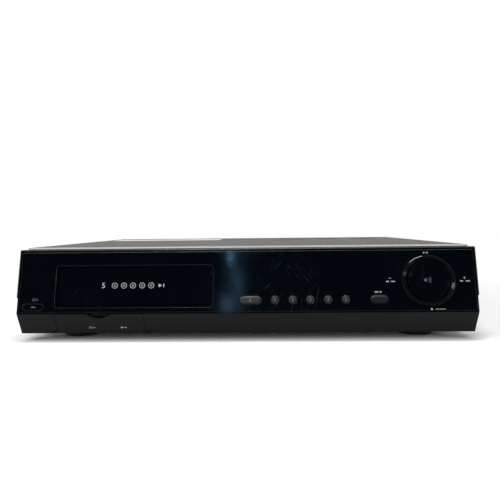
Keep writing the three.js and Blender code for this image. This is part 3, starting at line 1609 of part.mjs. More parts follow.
function makeFanRotor() {
  const y1 = behindFront(rear.front) - seatGap - fan.rotorGap;
  const y0 = behindFront(rear.front) - seatGap - fan.depth + fan.spokeDepth + fan.rotorGap;
  const depth = y1 - y0;
  const parts = [layAlongY(disc(0, 0, 0, depth, fan.hubRadius, 16), 0, y0, 0)];
  const tip = fan.boreRadius - fan.bladeGap;
  const root = fan.hubRadius - overrun;
  const chord = (depth - fan.bladeThickness) / Math.cos(THREE.MathUtils.degToRad(90 - bladePitchDegrees));
  for (let i = 0; i < bladeCount; i += 1) {
    const fin = box(root, tip, -chord / 2, chord / 2, -fan.bladeThickness / 2, fan.bladeThickness / 2);
    fin.rotateX(THREE.MathUtils.degToRad(90 - bladePitchDegrees)).rotateY((2 * Math.PI * i) / bladeCount);
    parts.push(fin.translate(0, y0 + depth / 2, 0));
  }
  const rim = layAlongY(disc(0, 0, -overrun, depth + overrun, tip, 24), 0, y0, 0);
  const blades = solidOf(build(parts)).intersect(solidOf(rim));
  const slab = box(-fan.size, fan.size, y0, y1, -fan.size, fan.size);
  return geometryOf(blades.intersect(solidOf(slab))).translate(fan.x, 0, fan.z);
}

addPiece(unit, 'main_board', makeMainBoard(), 'boardGreen');
addPiece(unit, 'power_board', makePowerBoard(), 'boardTan');
addPiece(unit, 'transformer', makeTransformer(), 'copper');
addPiece(unit, 'heat_sink', makeHeatSink(), 'aluminium');
addPiece(unit, 'fan_frame', makeFanFrame(), 'blackPlastic');
addPiece(unit, 'fan_rotor', makeFanRotor(), 'blackPlastic');

// Rear connectors

function connectorBody({ x, z, width, height, front }) {
  const y1 = behindFront(rearOuter) + seatGap + overrun;
  return box(x - width / 2, x + width / 2, behindFront(front), y1, z - height / 2, z + height / 2);
}

function connectorFlange({ x, z, width, height, flange }, margin) {
  const y0 = behindFront(rearOuter) + seatGap;
  const [halfX, halfZ] = [width / 2 + margin, height / 2 + margin];
  return box(x - halfX, x + halfX, y0, y0 + flange, z - halfZ, z + halfZ);
}

function makeSpeakerTerminals() {
  const face = behindFront(rearOuter) + seatGap + speaker.flange;
  const parts = [connectorBody(speaker), connectorFlange(speaker, speaker.flangeOut)];
  const holes = [];
  for (let i = 0; i < speakerPairs; i += 1) {
    const x = speaker.x + (i - (speakerPairs - 1) / 2) * speaker.pitch;
    for (const side of [-1, 1]) {
      const z = speaker.z + (side * speaker.height) / 4;
      const [w, h] = [speaker.leverWidth / 2, speaker.leverHeight / 2];
      const [low, high] = [z - h + speaker.wireRadius, z + h + speaker.wireRadius];
      parts.push(box(x - w, x + w, face - overrun, face + speaker.leverOut, low, high));
      const wire = disc(0, 0, -speaker.wireDepth, overrun, speaker.wireRadius, 6);
      holes.push(layAlongY(wire, x, face, z - h - speaker.wireRadius / 2));
    }
  }
  return build(parts, holes);
}

function makeAvBlock() {
  const y0 = behindFront(rearOuter) + seatGap;
  const ringFront = panelPoint(knob.rise - ring.halfHeight + ring.edge, ring.proud)[0];
  const reach = -ringFront - y0;
  const parts = [connectorBody(avBlock), connectorFlange(avBlock, jack.rim)];
  const bores = [];
  for (let column = 0; column < jackColumns; column += 1) {
    for (let row = 0; row < jackRows; row += 1) {
      const x = avBlock.x + (column - (jackColumns - 1) / 2) * jack.pitchX;
      const z = avBlock.z + (row - (jackRows - 1) / 2) * jack.pitchZ;
      const { sleeveRadius, rimRadius, rim } = jack;
      parts.push(layAlongY(turned([
        [0, 0], [rimRadius, 0], [rimRadius, rim + avBlock.flange], [sleeveRadius, rim + avBlock.flange],
        [sleeveRadius, reach], [0, reach],
      ], 12), x, y0, z));
      const bore = disc(0, 0, reach - jack.boreDepth, reach + overrun, jack.boreRadius, 6);
      bores.push(layAlongY(bore, x, y0, z));
    }
  }
  return build(parts, bores);
}

function makeAerialBlock() {
  const y0 = behindFront(rearOuter) + seatGap;
  const { x, z, height, coaxRadius, coaxBore, coaxOut, clipWidth, clipHeight, clipOut } = aerial;
  const coaxZ = z + height / 4;
  const clipZ = z - height / 4;
  const parts = [
    connectorBody(aerial), connectorFlange(aerial, jack.rim),
    layAlongY(disc(0, 0, 0, coaxOut, coaxRadius, 18), x, y0, coaxZ),
  ];
  for (const side of [-1, 1]) {
    const cx = x + side * (clipWidth / 2 + runningGap);
    const [halfX, halfZ] = [clipWidth / 2 - runningGap, clipHeight / 2];
    parts.push(box(cx - halfX, cx + halfX, y0, y0 + clipOut, clipZ - halfZ, clipZ + halfZ));
  }
  return build(parts, [layAlongY(disc(0, 0, coaxRadius, coaxOut + overrun, coaxBore, 8), x, y0, coaxZ)]);
}

addPiece(unit, 'speaker_terminals', makeSpeakerTerminals(), 'blackPlastic');
addPiece(unit, 'av_block', makeAvBlock(), 'blackPlastic');
addPiece(unit, 'aerial_block', makeAerialBlock(), 'greyPlastic');

// Mains cord

const reliefEnd = rearOuter + seatGap + cord.reliefFlange + cord.reliefLength;
const coilZ = cord.radius + cord.lift + tie.thickness + tie.gap;
const coilOuterRadius = coil.innerRadius + coil.pitch * coilTurnsEachWay;
const coilArrivalY = coil.y + coilOuterRadius;

// Points of the free run, chosen by hand: in from the exit, behind the rear panel, above the surface
const cordBends = [
  [0, 41.5, 22.9],
  [1.4, 55.5, 17.2],
  [6, 67.5, 10],
  [14, 78.5, 5],
  [26, 87.5, 3.6],
  [41, 92.5, 4.1],
  [56, 93.7, 4.25],
];
const cordRoute = [
  [cord.exitX, reliefEnd + seatGap, cord.exitZ],
  ...cordBends.map(([inward, behind, above]) => [cord.exitX - inward, rearOuter + behind, above]),
  [coil.x + coil.lead + seatGap, coilArrivalY, coilZ],
];

function sectionRing(radius, sides, turn = 0) {
  const points = [];
  for (let i = 0; i < sides; i += 1) {
    const angle = (2 * Math.PI * i) / sides + turn;
    points.push([radius * Math.cos(angle), radius * Math.sin(angle)]);
  }
  return points;
}

function makeCordRun() {
  const points = cordRoute.map(([x, y, z]) => new THREE.Vector3(x, behindFront(y), z));
  const curve = new THREE.CatmullRomCurve3(points);
  const steps = 16;
  const section = polygon(sectionRing(cord.radius, cordSides, Math.PI / cordSides));
  return new THREE.ExtrudeGeometry(section, { steps, extrudePath: curve, bevelEnabled: false });
}

// Middle line of the coil: in over its lower layer, up in the half turn where it reverses, and out again
function coilCentreline() {
  const rate = coil.pitch / (2 * Math.PI);
  const inward = 2 * Math.PI * coilTurnsEachWay;
  const total = 2 * Math.PI * coilTurns;
  const steps = Math.round(coilTurns * coilStepsPerTurn);
  const points = [];
  const place = (angle, radius, z) => {
    const around = Math.PI / 2 + angle;
    const [x, y] = [coil.x + radius * Math.cos(around), behindFront(coil.y) + radius * Math.sin(around)];
    return new THREE.Vector3(x, y, z);
  };
  for (let i = 0; i <= steps; i += 1) {
    const angle = (total * i) / steps;
    let radius = coilOuterRadius - rate * angle;
    let layer = 0;
    if (angle > inward + Math.PI) {
      radius = coil.innerRadius + rate * (angle - inward - Math.PI);
      layer = 1;
    } else if (angle > inward) {
      const turn = angle - inward;
      radius = coil.innerRadius - rate * turn + (rate * turn * turn) / Math.PI;
      const share = turn / Math.PI;
      layer = share * share * (3 - 2 * share);
    }
    points.push(place(angle, radius, coilZ + layer * coil.pitch));
  }
  return points;
}

function makeCoil() {
  const points = coilCentreline();
  const lead = new THREE.Vector3(coil.lead, 0, 0);
  points.unshift(points[0].clone().add(lead));
  const tail = new THREE.Vector3(-coil.tailLead, 0, 0);
  points.push(points[points.length - 1].clone().add(tail));
  const positions = [];
  const indices = [];
  const along = new THREE.Vector3();
  const sideways = new THREE.Vector3();
  const upward = new THREE.Vector3();
  const ringPoints = sectionRing(cord.radius, coilSides);
  points.forEach((point, i) => {
    const [before, after] = [points[Math.max(i - 1, 0)], points[Math.min(i + 1, points.length - 1)]];
    along.subVectors(after, before).normalize();
    if (i < 2 || i > points.length - 3) along.set(-1, 0, 0);
    sideways.crossVectors(along, axisZ).normalize();
    upward.crossVectors(sideways, along);
    for (const [across, up] of ringPoints) {
      const vertex = point.clone().addScaledVector(sideways, across).addScaledVector(upward, up);
      positions.push(vertex.x, vertex.y, vertex.z);
    }
  });
  const last = (points.length - 1) * coilSides;
  for (let ringStart = 0; ringStart < last; ringStart += coilSides) {
    for (let side = 0; side < coilSides; side += 1) {
      const next = (side + 1) % coilSides;
      const [a, b] = [ringStart + side, ringStart + next];
      indices.push(a, b + coilSides, b, a, a + coilSides, b + coilSides);
    }
  }
  for (let side = 1; side < coilSides - 1; side += 1) {
    indices.push(0, side, side + 1);
    indices.push(last, last + side + 1, last + side);
  }
  const geometry = new THREE.BufferGeometry();
  geometry.setAttribute('position', new THREE.Float32BufferAttribute(positions, 3));
  geometry.setIndex(indices);
  return geometry;
}

// Least gap of the coil to itself, between points of its middle line that lie over half a turn apart
function reportCoilGap() {
  const points = coilCentreline();
  let least = Infinity;
  let length = coil.lead + coil.tailLead;
  for (let i = 0; i < points.length; i += 1) {
    if (i > 0) length += points[i].distanceTo(points[i - 1]);
    for (let j = i + coilStepsPerTurn / 2; j < points.length - 1; j += 1) {
      const segment = new THREE.Line3(points[j], points[j + 1]);
      const nearest = segment.closestPointToPoint(points[i], true, new THREE.Vector3());
      least = Math.min(least, nearest.distanceTo(points[i]));
    }
  }
  const gap = (least - 2 * cord.radius).toFixed(2);
  console.log(`cord coil: least gap to itself ${gap} mm, length ${length.toFixed(0)} mm`);
}

function makeStrainRelief() {
  const start = -(rear.wall + seatGap + cord.reliefInner);
  const { reliefRadius, reliefFlangeRadius, reliefFlange, reliefEndRadius, reliefLength } = cord;
  const end = reliefFlange + reliefLength;
  const body = turned([
    [0, start], [reliefRadius, start], [reliefRadius, 0], [reliefFlangeRadius, 0],
    [reliefFlangeRadius, reliefFlange], [reliefRadius - cord.lift, reliefFlange], [reliefEndRadius, end],
    [0, end],
  ], 16);
  return layAlongY(body, cord.exitX, behindFront(rearOuter) + seatGap, cord.exitZ);
}

const plugZ = coilZ + coil.pitch;
const plugStartX = coil.x - coil.tailLead - seatGap;

function makePlug() {
  const { length, halfHeight, halfWidth, neck, neckRadius, edge, bladeLength } = plug;
  const neckEnd = neck + overrun;
  const neckSolid = turned([[0, 0], [neckRadius - overrun, 0], [neckRadius, neckEnd], [0, neckEnd]], 12);
  const outline = roundedRect(0, 0, 2 * halfHeight, 2 * halfWidth, halfHeight / 2);
  const body = softened(outline, neck, neck + length, edge, 3);
  const [bladeStart, bladeEnd] = [neck + length - overrun, neck + length + bladeLength];
  const blades = [-1, 1].map((side) => {
    const y = (side * blade.spacing) / 2;
    const { thickness, height } = blade;
    return box(-height / 2, height / 2, y - thickness / 2, y + thickness / 2, bladeStart, bladeEnd);
  });
  const whole = build([neckSolid, body, ...blades]);
  return whole.rotateY(-Math.PI / 2).translate(plugStartX, behindFront(coilArrivalY), plugZ);
}

function makeTie() {
  const inner = coil.innerRadius - cord.radius - tie.gap - coil.pitch / 4;
  const outer = coilOuterRadius + cord.radius + tie.gap;
  const top = coilZ + coil.pitch + cord.radius + tie.gap;
  const low = cord.lift;
  const loop = polygon([
    [inner - tie.thickness, low], [outer + tie.thickness, low], [outer + tie.thickness, top + tie.thickness],
    [inner - tie.thickness, top + tie.thickness],
  ]);
  const foot = low + tie.thickness;
  loop.holes.push(polygon([[inner, foot], [outer, foot], [outer, top], [inner, top]]));
  return alongY(loop, -tie.width / 2, tie.width / 2).translate(coil.x, behindFront(coil.y), 0);
}

addPiece(unit, 'cord_strain_relief', makeStrainRelief(), 'rubber');
addPiece(unit, 'cord_run', makeCordRun(), 'rubber');
addPiece(unit, 'cord_coil', makeCoil(), 'rubber');
addPiece(unit, 'cord_plug', makePlug(), 'rubber');
addPiece(unit, 'cord_tie', makeTie(), 'blackPlastic');
reportCoilGap();

export default unit;
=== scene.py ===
"""Looks of the home theatre receiver with its five-disc changer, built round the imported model."""

import json
import math

import bmesh
import bpy
from mathutils import Matrix, Vector


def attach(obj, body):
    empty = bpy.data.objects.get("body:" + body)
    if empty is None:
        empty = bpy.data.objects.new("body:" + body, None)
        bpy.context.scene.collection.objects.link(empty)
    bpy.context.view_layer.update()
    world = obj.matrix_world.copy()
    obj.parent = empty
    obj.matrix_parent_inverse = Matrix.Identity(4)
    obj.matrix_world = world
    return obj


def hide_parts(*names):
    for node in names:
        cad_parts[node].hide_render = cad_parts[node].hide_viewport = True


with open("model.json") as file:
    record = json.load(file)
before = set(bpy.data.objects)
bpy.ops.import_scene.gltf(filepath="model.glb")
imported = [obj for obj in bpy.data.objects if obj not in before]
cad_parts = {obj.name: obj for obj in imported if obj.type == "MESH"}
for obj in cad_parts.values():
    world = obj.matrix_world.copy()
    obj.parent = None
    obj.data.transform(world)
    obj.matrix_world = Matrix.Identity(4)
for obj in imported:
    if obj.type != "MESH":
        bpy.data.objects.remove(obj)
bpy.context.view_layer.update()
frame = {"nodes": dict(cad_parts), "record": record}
nodes = frame["nodes"]
MM = 0.001
CASE = "case"

# The leaning plane of the front: x across, y up the panel, z out of it
PANEL = Matrix.Translation((0, -0.195, 0.0272)) @ Matrix.Rotation(math.radians(75), 4, "X")
STRIP_LEAN = math.atan2(11.1, 20.2)
STRIP = Matrix.Translation((0, -0.1839, 0.007)) @ Matrix.Rotation(math.pi / 2 + STRIP_LEAN, 4, "X")
KNOB_X, KNOB_RISE = 168.7, 28.9
KEY_RISE = 12


# Camera of the photograph

def place_camera():
    """The camera that the photograph was taken with, fitted to the corners of the front."""
    focal_pixels, picture_pixels, sensor = 562.105, 500, 36
    stand = (0.019265, -0.70939, 0.106864)
    pitch, yaw, roll = 0.042176, 0.027955, -0.009984
    turn = Matrix.Rotation(roll, 3, "Z") @ Matrix.Rotation(pitch, 3, "X") @ Matrix.Rotation(yaw, 3, "Y")
    rows = turn @ Matrix(((1, 0, 0), (0, 0, -1), (0, 1, 0)))
    data = bpy.data.cameras.new("photo_camera")
    data.sensor_width = sensor
    data.lens = focal_pixels / picture_pixels * sensor
    camera = bpy.data.objects.new("photo_camera", data)
    bpy.context.scene.collection.objects.link(camera)
    axes = Matrix((rows[0], -rows[1], -rows[2])).transposed()
    camera.matrix_world = Matrix.Translation(stand) @ axes.to_4x4()
    bpy.context.scene.camera = camera


# Shader node groups: effects that several finishes share

def open_group(name, inputs, outputs):
    group = bpy.data.node_groups.new(name, "ShaderNodeTree")
    for label, kind, value in inputs:
        group.interface.new_socket(label, in_out="INPUT", socket_type=kind).default_value = value
    for label, kind in outputs:
        group.interface.new_socket(label, in_out="OUTPUT", socket_type=kind)
    return group, group.nodes.new("NodeGroupInput"), group.nodes.new("NodeGroupOutput")


def add_node(tree, kind, values=(), **settings):
    made = tree.nodes.new(kind)
    for key, value in settings.items():
        setattr(made, key, value)
    for socket, value in dict(values).items():
        made.inputs[socket].default_value = value
    return made


def moulded_grain_group():
    """Fine surface grain with slow changes of shade and gloss, for moulded, painted and plated pieces."""
    group, inside, outside = open_group(
        "moulded_grain",
        [
            ("Colour", "NodeSocketColor", (0.5, 0.5, 0.5, 1)),
            ("Second colour", "NodeSocketColor", (0.5, 0.5, 0.5, 1)),
            ("Gloss low", "NodeSocketFloat", 0.3),
            ("Gloss high", "NodeSocketFloat", 0.4),
            ("Grain scale", "NodeSocketFloat", 1500),
            ("Patch scale", "NodeSocketFloat", 18),
            ("Grain stretch", "NodeSocketVector", (1, 1, 1)),
        ],
        [("Colour", "NodeSocketColor"), ("Roughness", "NodeSocketFloat"), ("Height", "NodeSocketFloat")],
    )
    place = add_node(group, "ShaderNodeTexCoord")
    grain = add_node(group, "ShaderNodeTexNoise", {"Detail": 3, "Roughness": 0.6})
    patch = add_node(group, "ShaderNodeTexNoise", {"Detail": 4, "Roughness": 0.55})
    tint = add_node(group, "ShaderNodeMix", data_type="RGBA")
    gloss = add_node(group, "ShaderNodeMapRange", {"From Min": 0.3, "From Max": 0.7})
    link = group.links.new
    drawn = add_node(group, "ShaderNodeVectorMath", operation="MULTIPLY")
    link(place.outputs["Object"], drawn.inputs[0])
    link(inside.outputs["Grain stretch"], drawn.inputs[1])
    link(drawn.outputs["Vector"], grain.inputs["Vector"])
    link(place.outputs["Object"], patch.inputs["Vector"])
    link(inside.outputs["Grain scale"], grain.inputs["Scale"])
    link(inside.outputs["Patch scale"], patch.inputs["Scale"])
    link(patch.outputs["Fac"], tint.inputs[0])
    link(inside.outputs["Colour"], tint.inputs[6])
    link(inside.outputs["Second colour"], tint.inputs[7])
    link(patch.outputs["Fac"], gloss.inputs["Value"])
    link(inside.outputs["Gloss low"], gloss.inputs["To Min"])
    link(inside.outputs["Gloss high"], gloss.inputs["To Max"])
    link(tint.outputs[2], outside.inputs["Colour"])
    link(gloss.outputs["Result"], outside.inputs["Roughness"])
    link(grain.outputs["Fac"], outside.inputs["Height"])
    return group


def handling_marks_group():
    """Specks of dust and hairline scratches in three directions, as masks from 0 to 1."""
    group, inside, outside = open_group(
        "handling_marks",
        [("Dust amount", "NodeSocketFloat", 0.3), ("Scratch amount", "NodeSocketFloat", 0.3)],
        [("Dust", "NodeSocketFloat"), ("Scratches", "NodeSocketFloat")],
    )
    place = add_node(group, "ShaderNodeTexCoord")
    specks = add_node(group, "ShaderNodeTexVoronoi", {"Scale": 420, "Randomness": 1})
    clouds = add_node(group, "ShaderNodeTexNoise", {"Scale": 34, "Detail": 5, "Roughness": 0.7})
    near = add_node(group, "ShaderNodeMapRange", {"From Min": 0.16, "From Max": 0.02})
    thick = add_node(group, "ShaderNodeMapRange", {"From Min": 0.52, "From Max": 0.75})
    dust = add_node(group, "ShaderNodeMath", operation="MULTIPLY")
    dust_amount = add_node(group, "ShaderNodeMath", operation="MULTIPLY")
    link = group.links.new
    link(place.outputs["Object"], specks.inputs["Vector"])
    link(place.outputs["Object"], clouds.inputs["Vector"])
    link(specks.outputs["Distance"], near.inputs["Value"])
    link(clouds.outputs["Fac"], thick.inputs["Value"])
    link(near.outputs["Result"], dust.inputs[0])
    link(thick.outputs["Result"], dust.inputs[1])
    link(dust.outputs[0], dust_amount.inputs[0])
    link(inside.outputs["Dust amount"], dust_amount.inputs[1])
    link(dust_amount.outputs[0], outside.inputs["Dust"])
    gathered = add_node(group, "ShaderNodeTexNoise", {"Scale": 15, "Detail": 2, "Roughness": 0.5})
    cluster = add_node(group, "ShaderNodeMapRange", {"From Min": 0.54, "From Max": 0.68})
    link(place.outputs["Object"], gathered.inputs["Vector"])
    link(gathered.outputs["Fac"], cluster.inputs["Value"])
    lines = None
    for turn, scale in ((40, 34), (-38, 46), (12, 40)):
        lean = add_node(
            group, "ShaderNodeMapping", {"Rotation": (0, math.radians(turn), 0), "Scale": (0.035, 1, 1)},
            vector_type="TEXTURE",
        )
        streak = add_node(group, "ShaderNodeTexNoise", {"Scale": scale, "Detail": 2, "Roughness": 0.5})
        thin = add_node(group, "ShaderNodeMapRange", {"From Min": 0.68, "From Max": 0.74})
        link(place.outputs["Object"], lean.inputs["Vector"])
        link(lean.outputs["Vector"], streak.inputs["Vector"])
        link(streak.outputs["Fac"], thin.inputs["Value"])
        if lines is None:
            lines = thin.outputs["Result"]
        else:
            both = add_node(group, "ShaderNodeMath", operation="MAXIMUM")
            link(lines, both.inputs[0])
            link(thin.outputs["Result"], both.inputs[1])
            lines = both.outputs[0]
    clustered = add_node(group, "ShaderNodeMath", operation="MULTIPLY")
    link(lines, clustered.inputs[0])
    link(cluster.outputs["Result"], clustered.inputs[1])
    scratch_amount = add_node(group, "ShaderNodeMath", operation="MULTIPLY")
    link(clustered.outputs[0], scratch_amount.inputs[0])
    link(inside.outputs["Scratch amount"], scratch_amount.inputs[1])
    link(scratch_amount.outputs[0], outside.inputs["Scratches"])
    return group


moulded_grain = moulded_grain_group()
handling_marks = handling_marks_group()


# Finishes. Each has a colour, a second one it drifts to, and its gloss; some have dust and scratches, and a
# few paint highlight or shade.

MARK_COLOUR = (0.28, 0.34, 0.40, 1)
MARK_ROUGHNESS = 0.45


def make_finish(
    name, colour, second, gloss, grain=(1500, 0.00002), patch=18, marks=None, shader=None, stretch=(1, 1, 1)
):
    """A material.

    Gloss is its lowest and highest roughness, grain the scale and height of its bumps, patch the scale of
    its changes of shade, and marks the amounts of dust and of scratches.
    """
    material = bpy.data.materials.new(name)
    material.use_nodes = True
    tree = material.node_tree
    link = tree.links.new
    surface = tree.nodes["Principled BSDF"]
    for socket, value in (shader or {}).items():
        surface.inputs[socket].default_value = value
    skin = add_node(tree, "ShaderNodeGroup", node_tree=moulded_grain)
    skin.inputs["Colour"].default_value = (*colour, 1)
    skin.inputs["Second colour"].default_value = (*second, 1)
    skin.inputs["Gloss low"].default_value = gloss[0]
    skin.inputs["Gloss high"].default_value = gloss[1]
    skin.inputs["Grain scale"].default_value = grain[0]
    skin.inputs["Patch scale"].default_value = patch
    skin.inputs["Grain stretch"].default_value = stretch
    bump = add_node(tree, "ShaderNodeBump", {"Strength": 0.6, "Distance": grain[1]})
    link(skin.outputs["Height"], bump.inputs["Height"])
    link(bump.outputs["Normal"], surface.inputs["Normal"])
    shade, rough = skin.outputs["Colour"], skin.outputs["Roughness"]
    if marks:
        worn = add_node(tree, "ShaderNodeGroup", node_tree=handling_marks)
        worn.inputs["Dust amount"].default_value = marks[0]
        worn.inputs["Scratch amount"].default_value = marks[1]
        dusted = add_node(tree, "ShaderNodeMix", {7: MARK_COLOUR}, data_type="RGBA")
        scuffed = add_node(tree, "ShaderNodeMath", {1: MARK_ROUGHNESS}, operation="MULTIPLY_ADD")
        both = add_node(tree, "ShaderNodeMath", operation="MAXIMUM")
        link(worn.outputs["Dust"], both.inputs[0])
        link(worn.outputs["Scratches"], both.inputs[1])
        link(both.outputs[0], dusted.inputs[0])
        link(shade, dusted.inputs[6])
        link(both.outputs[0], scuffed.inputs[0])
        link(rough, scuffed.inputs[2])
        shade, rough = dusted.outputs[2], scuffed.outputs[0]
    link(shade, surface.inputs["Base Color"])
    link(rough, surface.inputs["Roughness"])
    return material


METAL = {"Metallic": 1}
BLUISH = (0.36, 0.66, 1.0, 1)
finish_values = {
    "gloss_black": (
        (0.0002, 0.0006, 0.0010), (0.0004, 0.0010, 0.0016), (0.05, 0.11), (420, 0.00004), 30,
        (0.010, 0.05), {"Specular IOR Level": 0.021, "Specular Tint": BLUISH}, (0.03, 1, 1),
    ),
    # Rounded edges of the gloss black: glossier and dusty, with a lighter colour and specks that paint a
    # broken sheen along them
    "gloss_edge_dust_and_painted_sheen": (
        (0.0010, 0.0014, 0.0020), (0.012, 0.013, 0.014), (0.10, 0.30), (2600, 0.000004), 260,
        (0.35, 0.10), {"Specular IOR Level": 0.42},
    ),
    # The window's top edge: a painted highlight, a light grey line on the gloss black
    "top_edge_painted_highlight": (
        (0.010, 0.012, 0.015), (0.260, 0.266, 0.275), (0.08, 0.30), (2600, 0.000004), 150,
        (0.35, 0.10), {"Specular IOR Level": 1.0},
    ),
    # The upward rounding of the keys: a painted highlight, lighter than the key's own grey
    "key_edge_painted_highlight": (
        (0.056, 0.058, 0.061), (0.074, 0.076, 0.080), (0.20, 0.30), (2600, 0.000004), 60,
        None, {"Specular IOR Level": 1.0},
    ),
    "ring_rim": (
        (0.0008, 0.0012, 0.0018), (0.0030, 0.0038, 0.0046), (0.04, 0.09), (2600, 0.000001), 120,
        (0.02, 0.02), {"Specular IOR Level": 0.085, "Specular Tint": (0.80, 0.90, 1, 1)},
    ),
    "button_grey": (
        (0.0110, 0.0118, 0.0124), (0.0150, 0.0158, 0.0164), (0.24, 0.34), (2600, 0.000006), 60,
        (0.04, 0.02), {"Specular IOR Level": 0.12},
    ),
    "slate_key": (
        (0.0050, 0.0066, 0.0082), (0.0068, 0.0085, 0.0102), (0.26, 0.36), (2600, 0.000006), 60,
        (0.02, 0.01), {"Specular IOR Level": 0.06},
    ),
    "ring_black": (
        (0.0006, 0.0010, 0.0014), (0.0018, 0.0026, 0.0034), (0.04, 0.09), (1200, 0.000001), 45,
        (0.02, 0.02), {"Specular IOR Level": 0.030, "Specular Tint": (0.75, 0.88, 1, 1)},
    ),
    "charcoal": (
        (0.0056, 0.0058, 0.0063), (0.0070, 0.0071, 0.0075), (0.40, 0.50), (2400, 0.00001), 14,
        (0.03, 0.01), {"Specular IOR Level": 0.085},
    ),
    "cover_black": (
        (0.0160, 0.0148, 0.0125), (0.0210, 0.0196, 0.0170), (0.46, 0.52), (1700, 0.00002), 11,
        (0.10, 0.02), {"Specular IOR Level": 0.26},
    ),
    # The cover's front edge: a painted highlight, light grey on the black paint
    "cover_lip_painted_highlight": (
        (0.31, 0.306, 0.296), (0.43, 0.426, 0.415), (0.30, 0.42), (1700, 0.00001), 70,
        (0.08, 0.04), {"Specular IOR Level": 0.5},
    ),
    "nickel": (
        (0.60, 0.58, 0.53), (0.70, 0.68, 0.63), (0.16, 0.26), (900, 0.000004), 60, None, METAL
    ),
    "recess": ((0.004, 0.004, 0.004), (0.007, 0.007, 0.007), (0.5, 0.6)),
    "blank_label": (
        (0.66, 0.66, 0.60), (0.74, 0.74, 0.69), (0.35, 0.5), (1500, 0.00001), 30, (0.05, 0.03)
    ),
    "plate_silver": (
        (0.30, 0.30, 0.31), (0.36, 0.36, 0.37), (0.35, 0.5), (1500, 0.000006), 30, (0.05, 0.03)
    ),
    "zinc_steel": (
        (0.46, 0.47, 0.46), (0.56, 0.57, 0.55), (0.28, 0.42), (500, 0.00001), 40, None, METAL
    ),
    "black_plastic": (
        (0.010, 0.010, 0.011), (0.014, 0.014, 0.015), (0.45, 0.58), (1900, 0.00002), 25
    ),
    "white_plastic": (
        (0.66, 0.64, 0.57), (0.72, 0.70, 0.64), (0.35, 0.45), (1900, 0.00001), 30
    ),
    "grey_plastic": (
        (0.17, 0.18, 0.19), (0.20, 0.21, 0.22), (0.42, 0.52), (1900, 0.00002), 20
    ),
    "bare_aluminium": (
        (0.58, 0.59, 0.60), (0.66, 0.67, 0.68), (0.25, 0.36), (700, 0.00001), 30, None, METAL
    ),
    "rubber_black": (
        (0.009, 0.009, 0.010), (0.013, 0.013, 0.014), (0.50, 0.62), (1500, 0.00003), 20,
        None, {"Specular IOR Level": 0.25},
    ),
    "copper_winding": (
        (0.30, 0.11, 0.04), (0.38, 0.15, 0.06), (0.28, 0.40), (420, 0.00008), 30, None, METAL
    ),
    "display_glass": (
        (0.010, 0.016, 0.018), (0.014, 0.022, 0.024), (0.04, 0.08), (900, 0.000001), 20
    ),
    "board_green": (
        (0.012, 0.085, 0.030), (0.018, 0.12, 0.045), (0.25, 0.4), (180, 0.00003), 90
    ),
    "board_tan": (
        (0.32, 0.18, 0.075), (0.40, 0.23, 0.10), (0.4, 0.55), (180, 0.00003), 60
    ),
    "print_silver": (
        (0.30, 0.31, 0.32), (0.38, 0.39, 0.40), (0.4, 0.5), (2500, 0.000004), 200
    ),
    "print_key": (
        (0.076, 0.079, 0.082), (0.098, 0.101, 0.104), (0.4, 0.5), (2500, 0.000004), 200
    ),
    "print_dim": (
        (0.050, 0.055, 0.060), (0.075, 0.080, 0.085), (0.4, 0.5), (2500, 0.000004), 200
    ),
}
finishes = {name: make_finish(name, *values) for name, values in finish_values.items()}
for label, colour in (
    ("tab_orange", (0.55, 0.16, 0.02)), ("tab_blue", (0.02, 0.07, 0.30)), ("tab_green", (0.02, 0.17, 0.05)),
    ("tab_red", (0.36, 0.016, 0.014)), ("tab_grey", (0.30, 0.30, 0.30)), ("tab_yellow", (0.68, 0.44, 0.02)),
):
    lighter = tuple(min(1, part * 1.18 + 0.004) for part in colour)
    finishes[label] = make_finish(label, colour, lighter, (0.32, 0.44), (1900, 0.00001), 40)
slots = {entry["node"]: entry["material_slot"] for entry in frame["record"]["subparts"]}
for name, carried in nodes.items():
    carried.data.materials.clear()
    carried.data.materials.append(finishes[slots[name]])


# Making pieces

def crease(bm, angle=32):
    """Smooth shading, with a sharp edge where two faces meet at more than the angle."""
    limit = math.radians(angle)
    for face in bm.faces:
        face.smooth = True
    for edge in bm.edges:
        edge.smooth = len(edge.link_faces) == 2 and edge.calc_face_angle(0) < limit


def finish_piece(name, bm, body, finish, replaced=(), place=None, trims=(), angle=32):
    """Makes an object of the bmesh, in its place, riding on its body.

    Trims are the finishes of the faces marked 1, 2 and on.
    """
    if place is not None:
        bmesh.ops.transform(bm, matrix=place, verts=bm.verts[:])
    crease(bm, angle)
    mesh = bpy.data.meshes.new(name)
    bm.to_mesh(mesh)
    bm.free()
    for label in (finish, *trims):
        mesh.materials.append(finishes[label])
    piece = bpy.data.objects.new(name, mesh)
    bpy.context.scene.collection.objects.link(piece)
    even = piece.modifiers.new("even_shading", "WEIGHTED_NORMAL")
    even.mode, even.weight, even.keep_sharp = "FACE_AREA", 50, True
    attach(piece, body)
    if replaced:
        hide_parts(*replaced)
    return piece


def round_edges(bm, edges, width, segments):
    return bmesh.ops.bevel(
        bm, geom=edges, offset=width, offset_type="OFFSET", affect="EDGES", segments=segments, profile=0.5,
        material=-1, clamp_overlap=True,
    )["faces"]


def sharp_edges(bm, angle=40):
    limit = math.radians(angle)
    return [edge for edge in bm.edges if len(edge.link_faces) == 2 and edge.calc_face_angle(0) > limit]


def smooth_disc_recess(bm):
    """Puts more points on the rims of a tray's round recess, each on the true circle."""
    centre, radius = Vector((-104.4, -4.8)) * MM, 60.6
    near, level, longest = 0.00003, 0.000001, radius * MM * 0.3

    def on_rim(vert):
        return abs((vert.co.xy - centre).length - radius * MM) < near

    rims = [
        edge for edge in bm.edges
        if all(map(on_rim, edge.verts)) and abs(edge.verts[0].co.z - edge.verts[1].co.z) < level
        and edge.calc_length() < longest
    ]
    for part in bmesh.ops.subdivide_edges(bm, edges=rims, cuts=3, use_grid_fill=True)["geom_inner"]:
        if isinstance(part, bmesh.types.BMVert):
            part.co.xy = centre + (part.co.xy - centre).normalized() * radius * MM


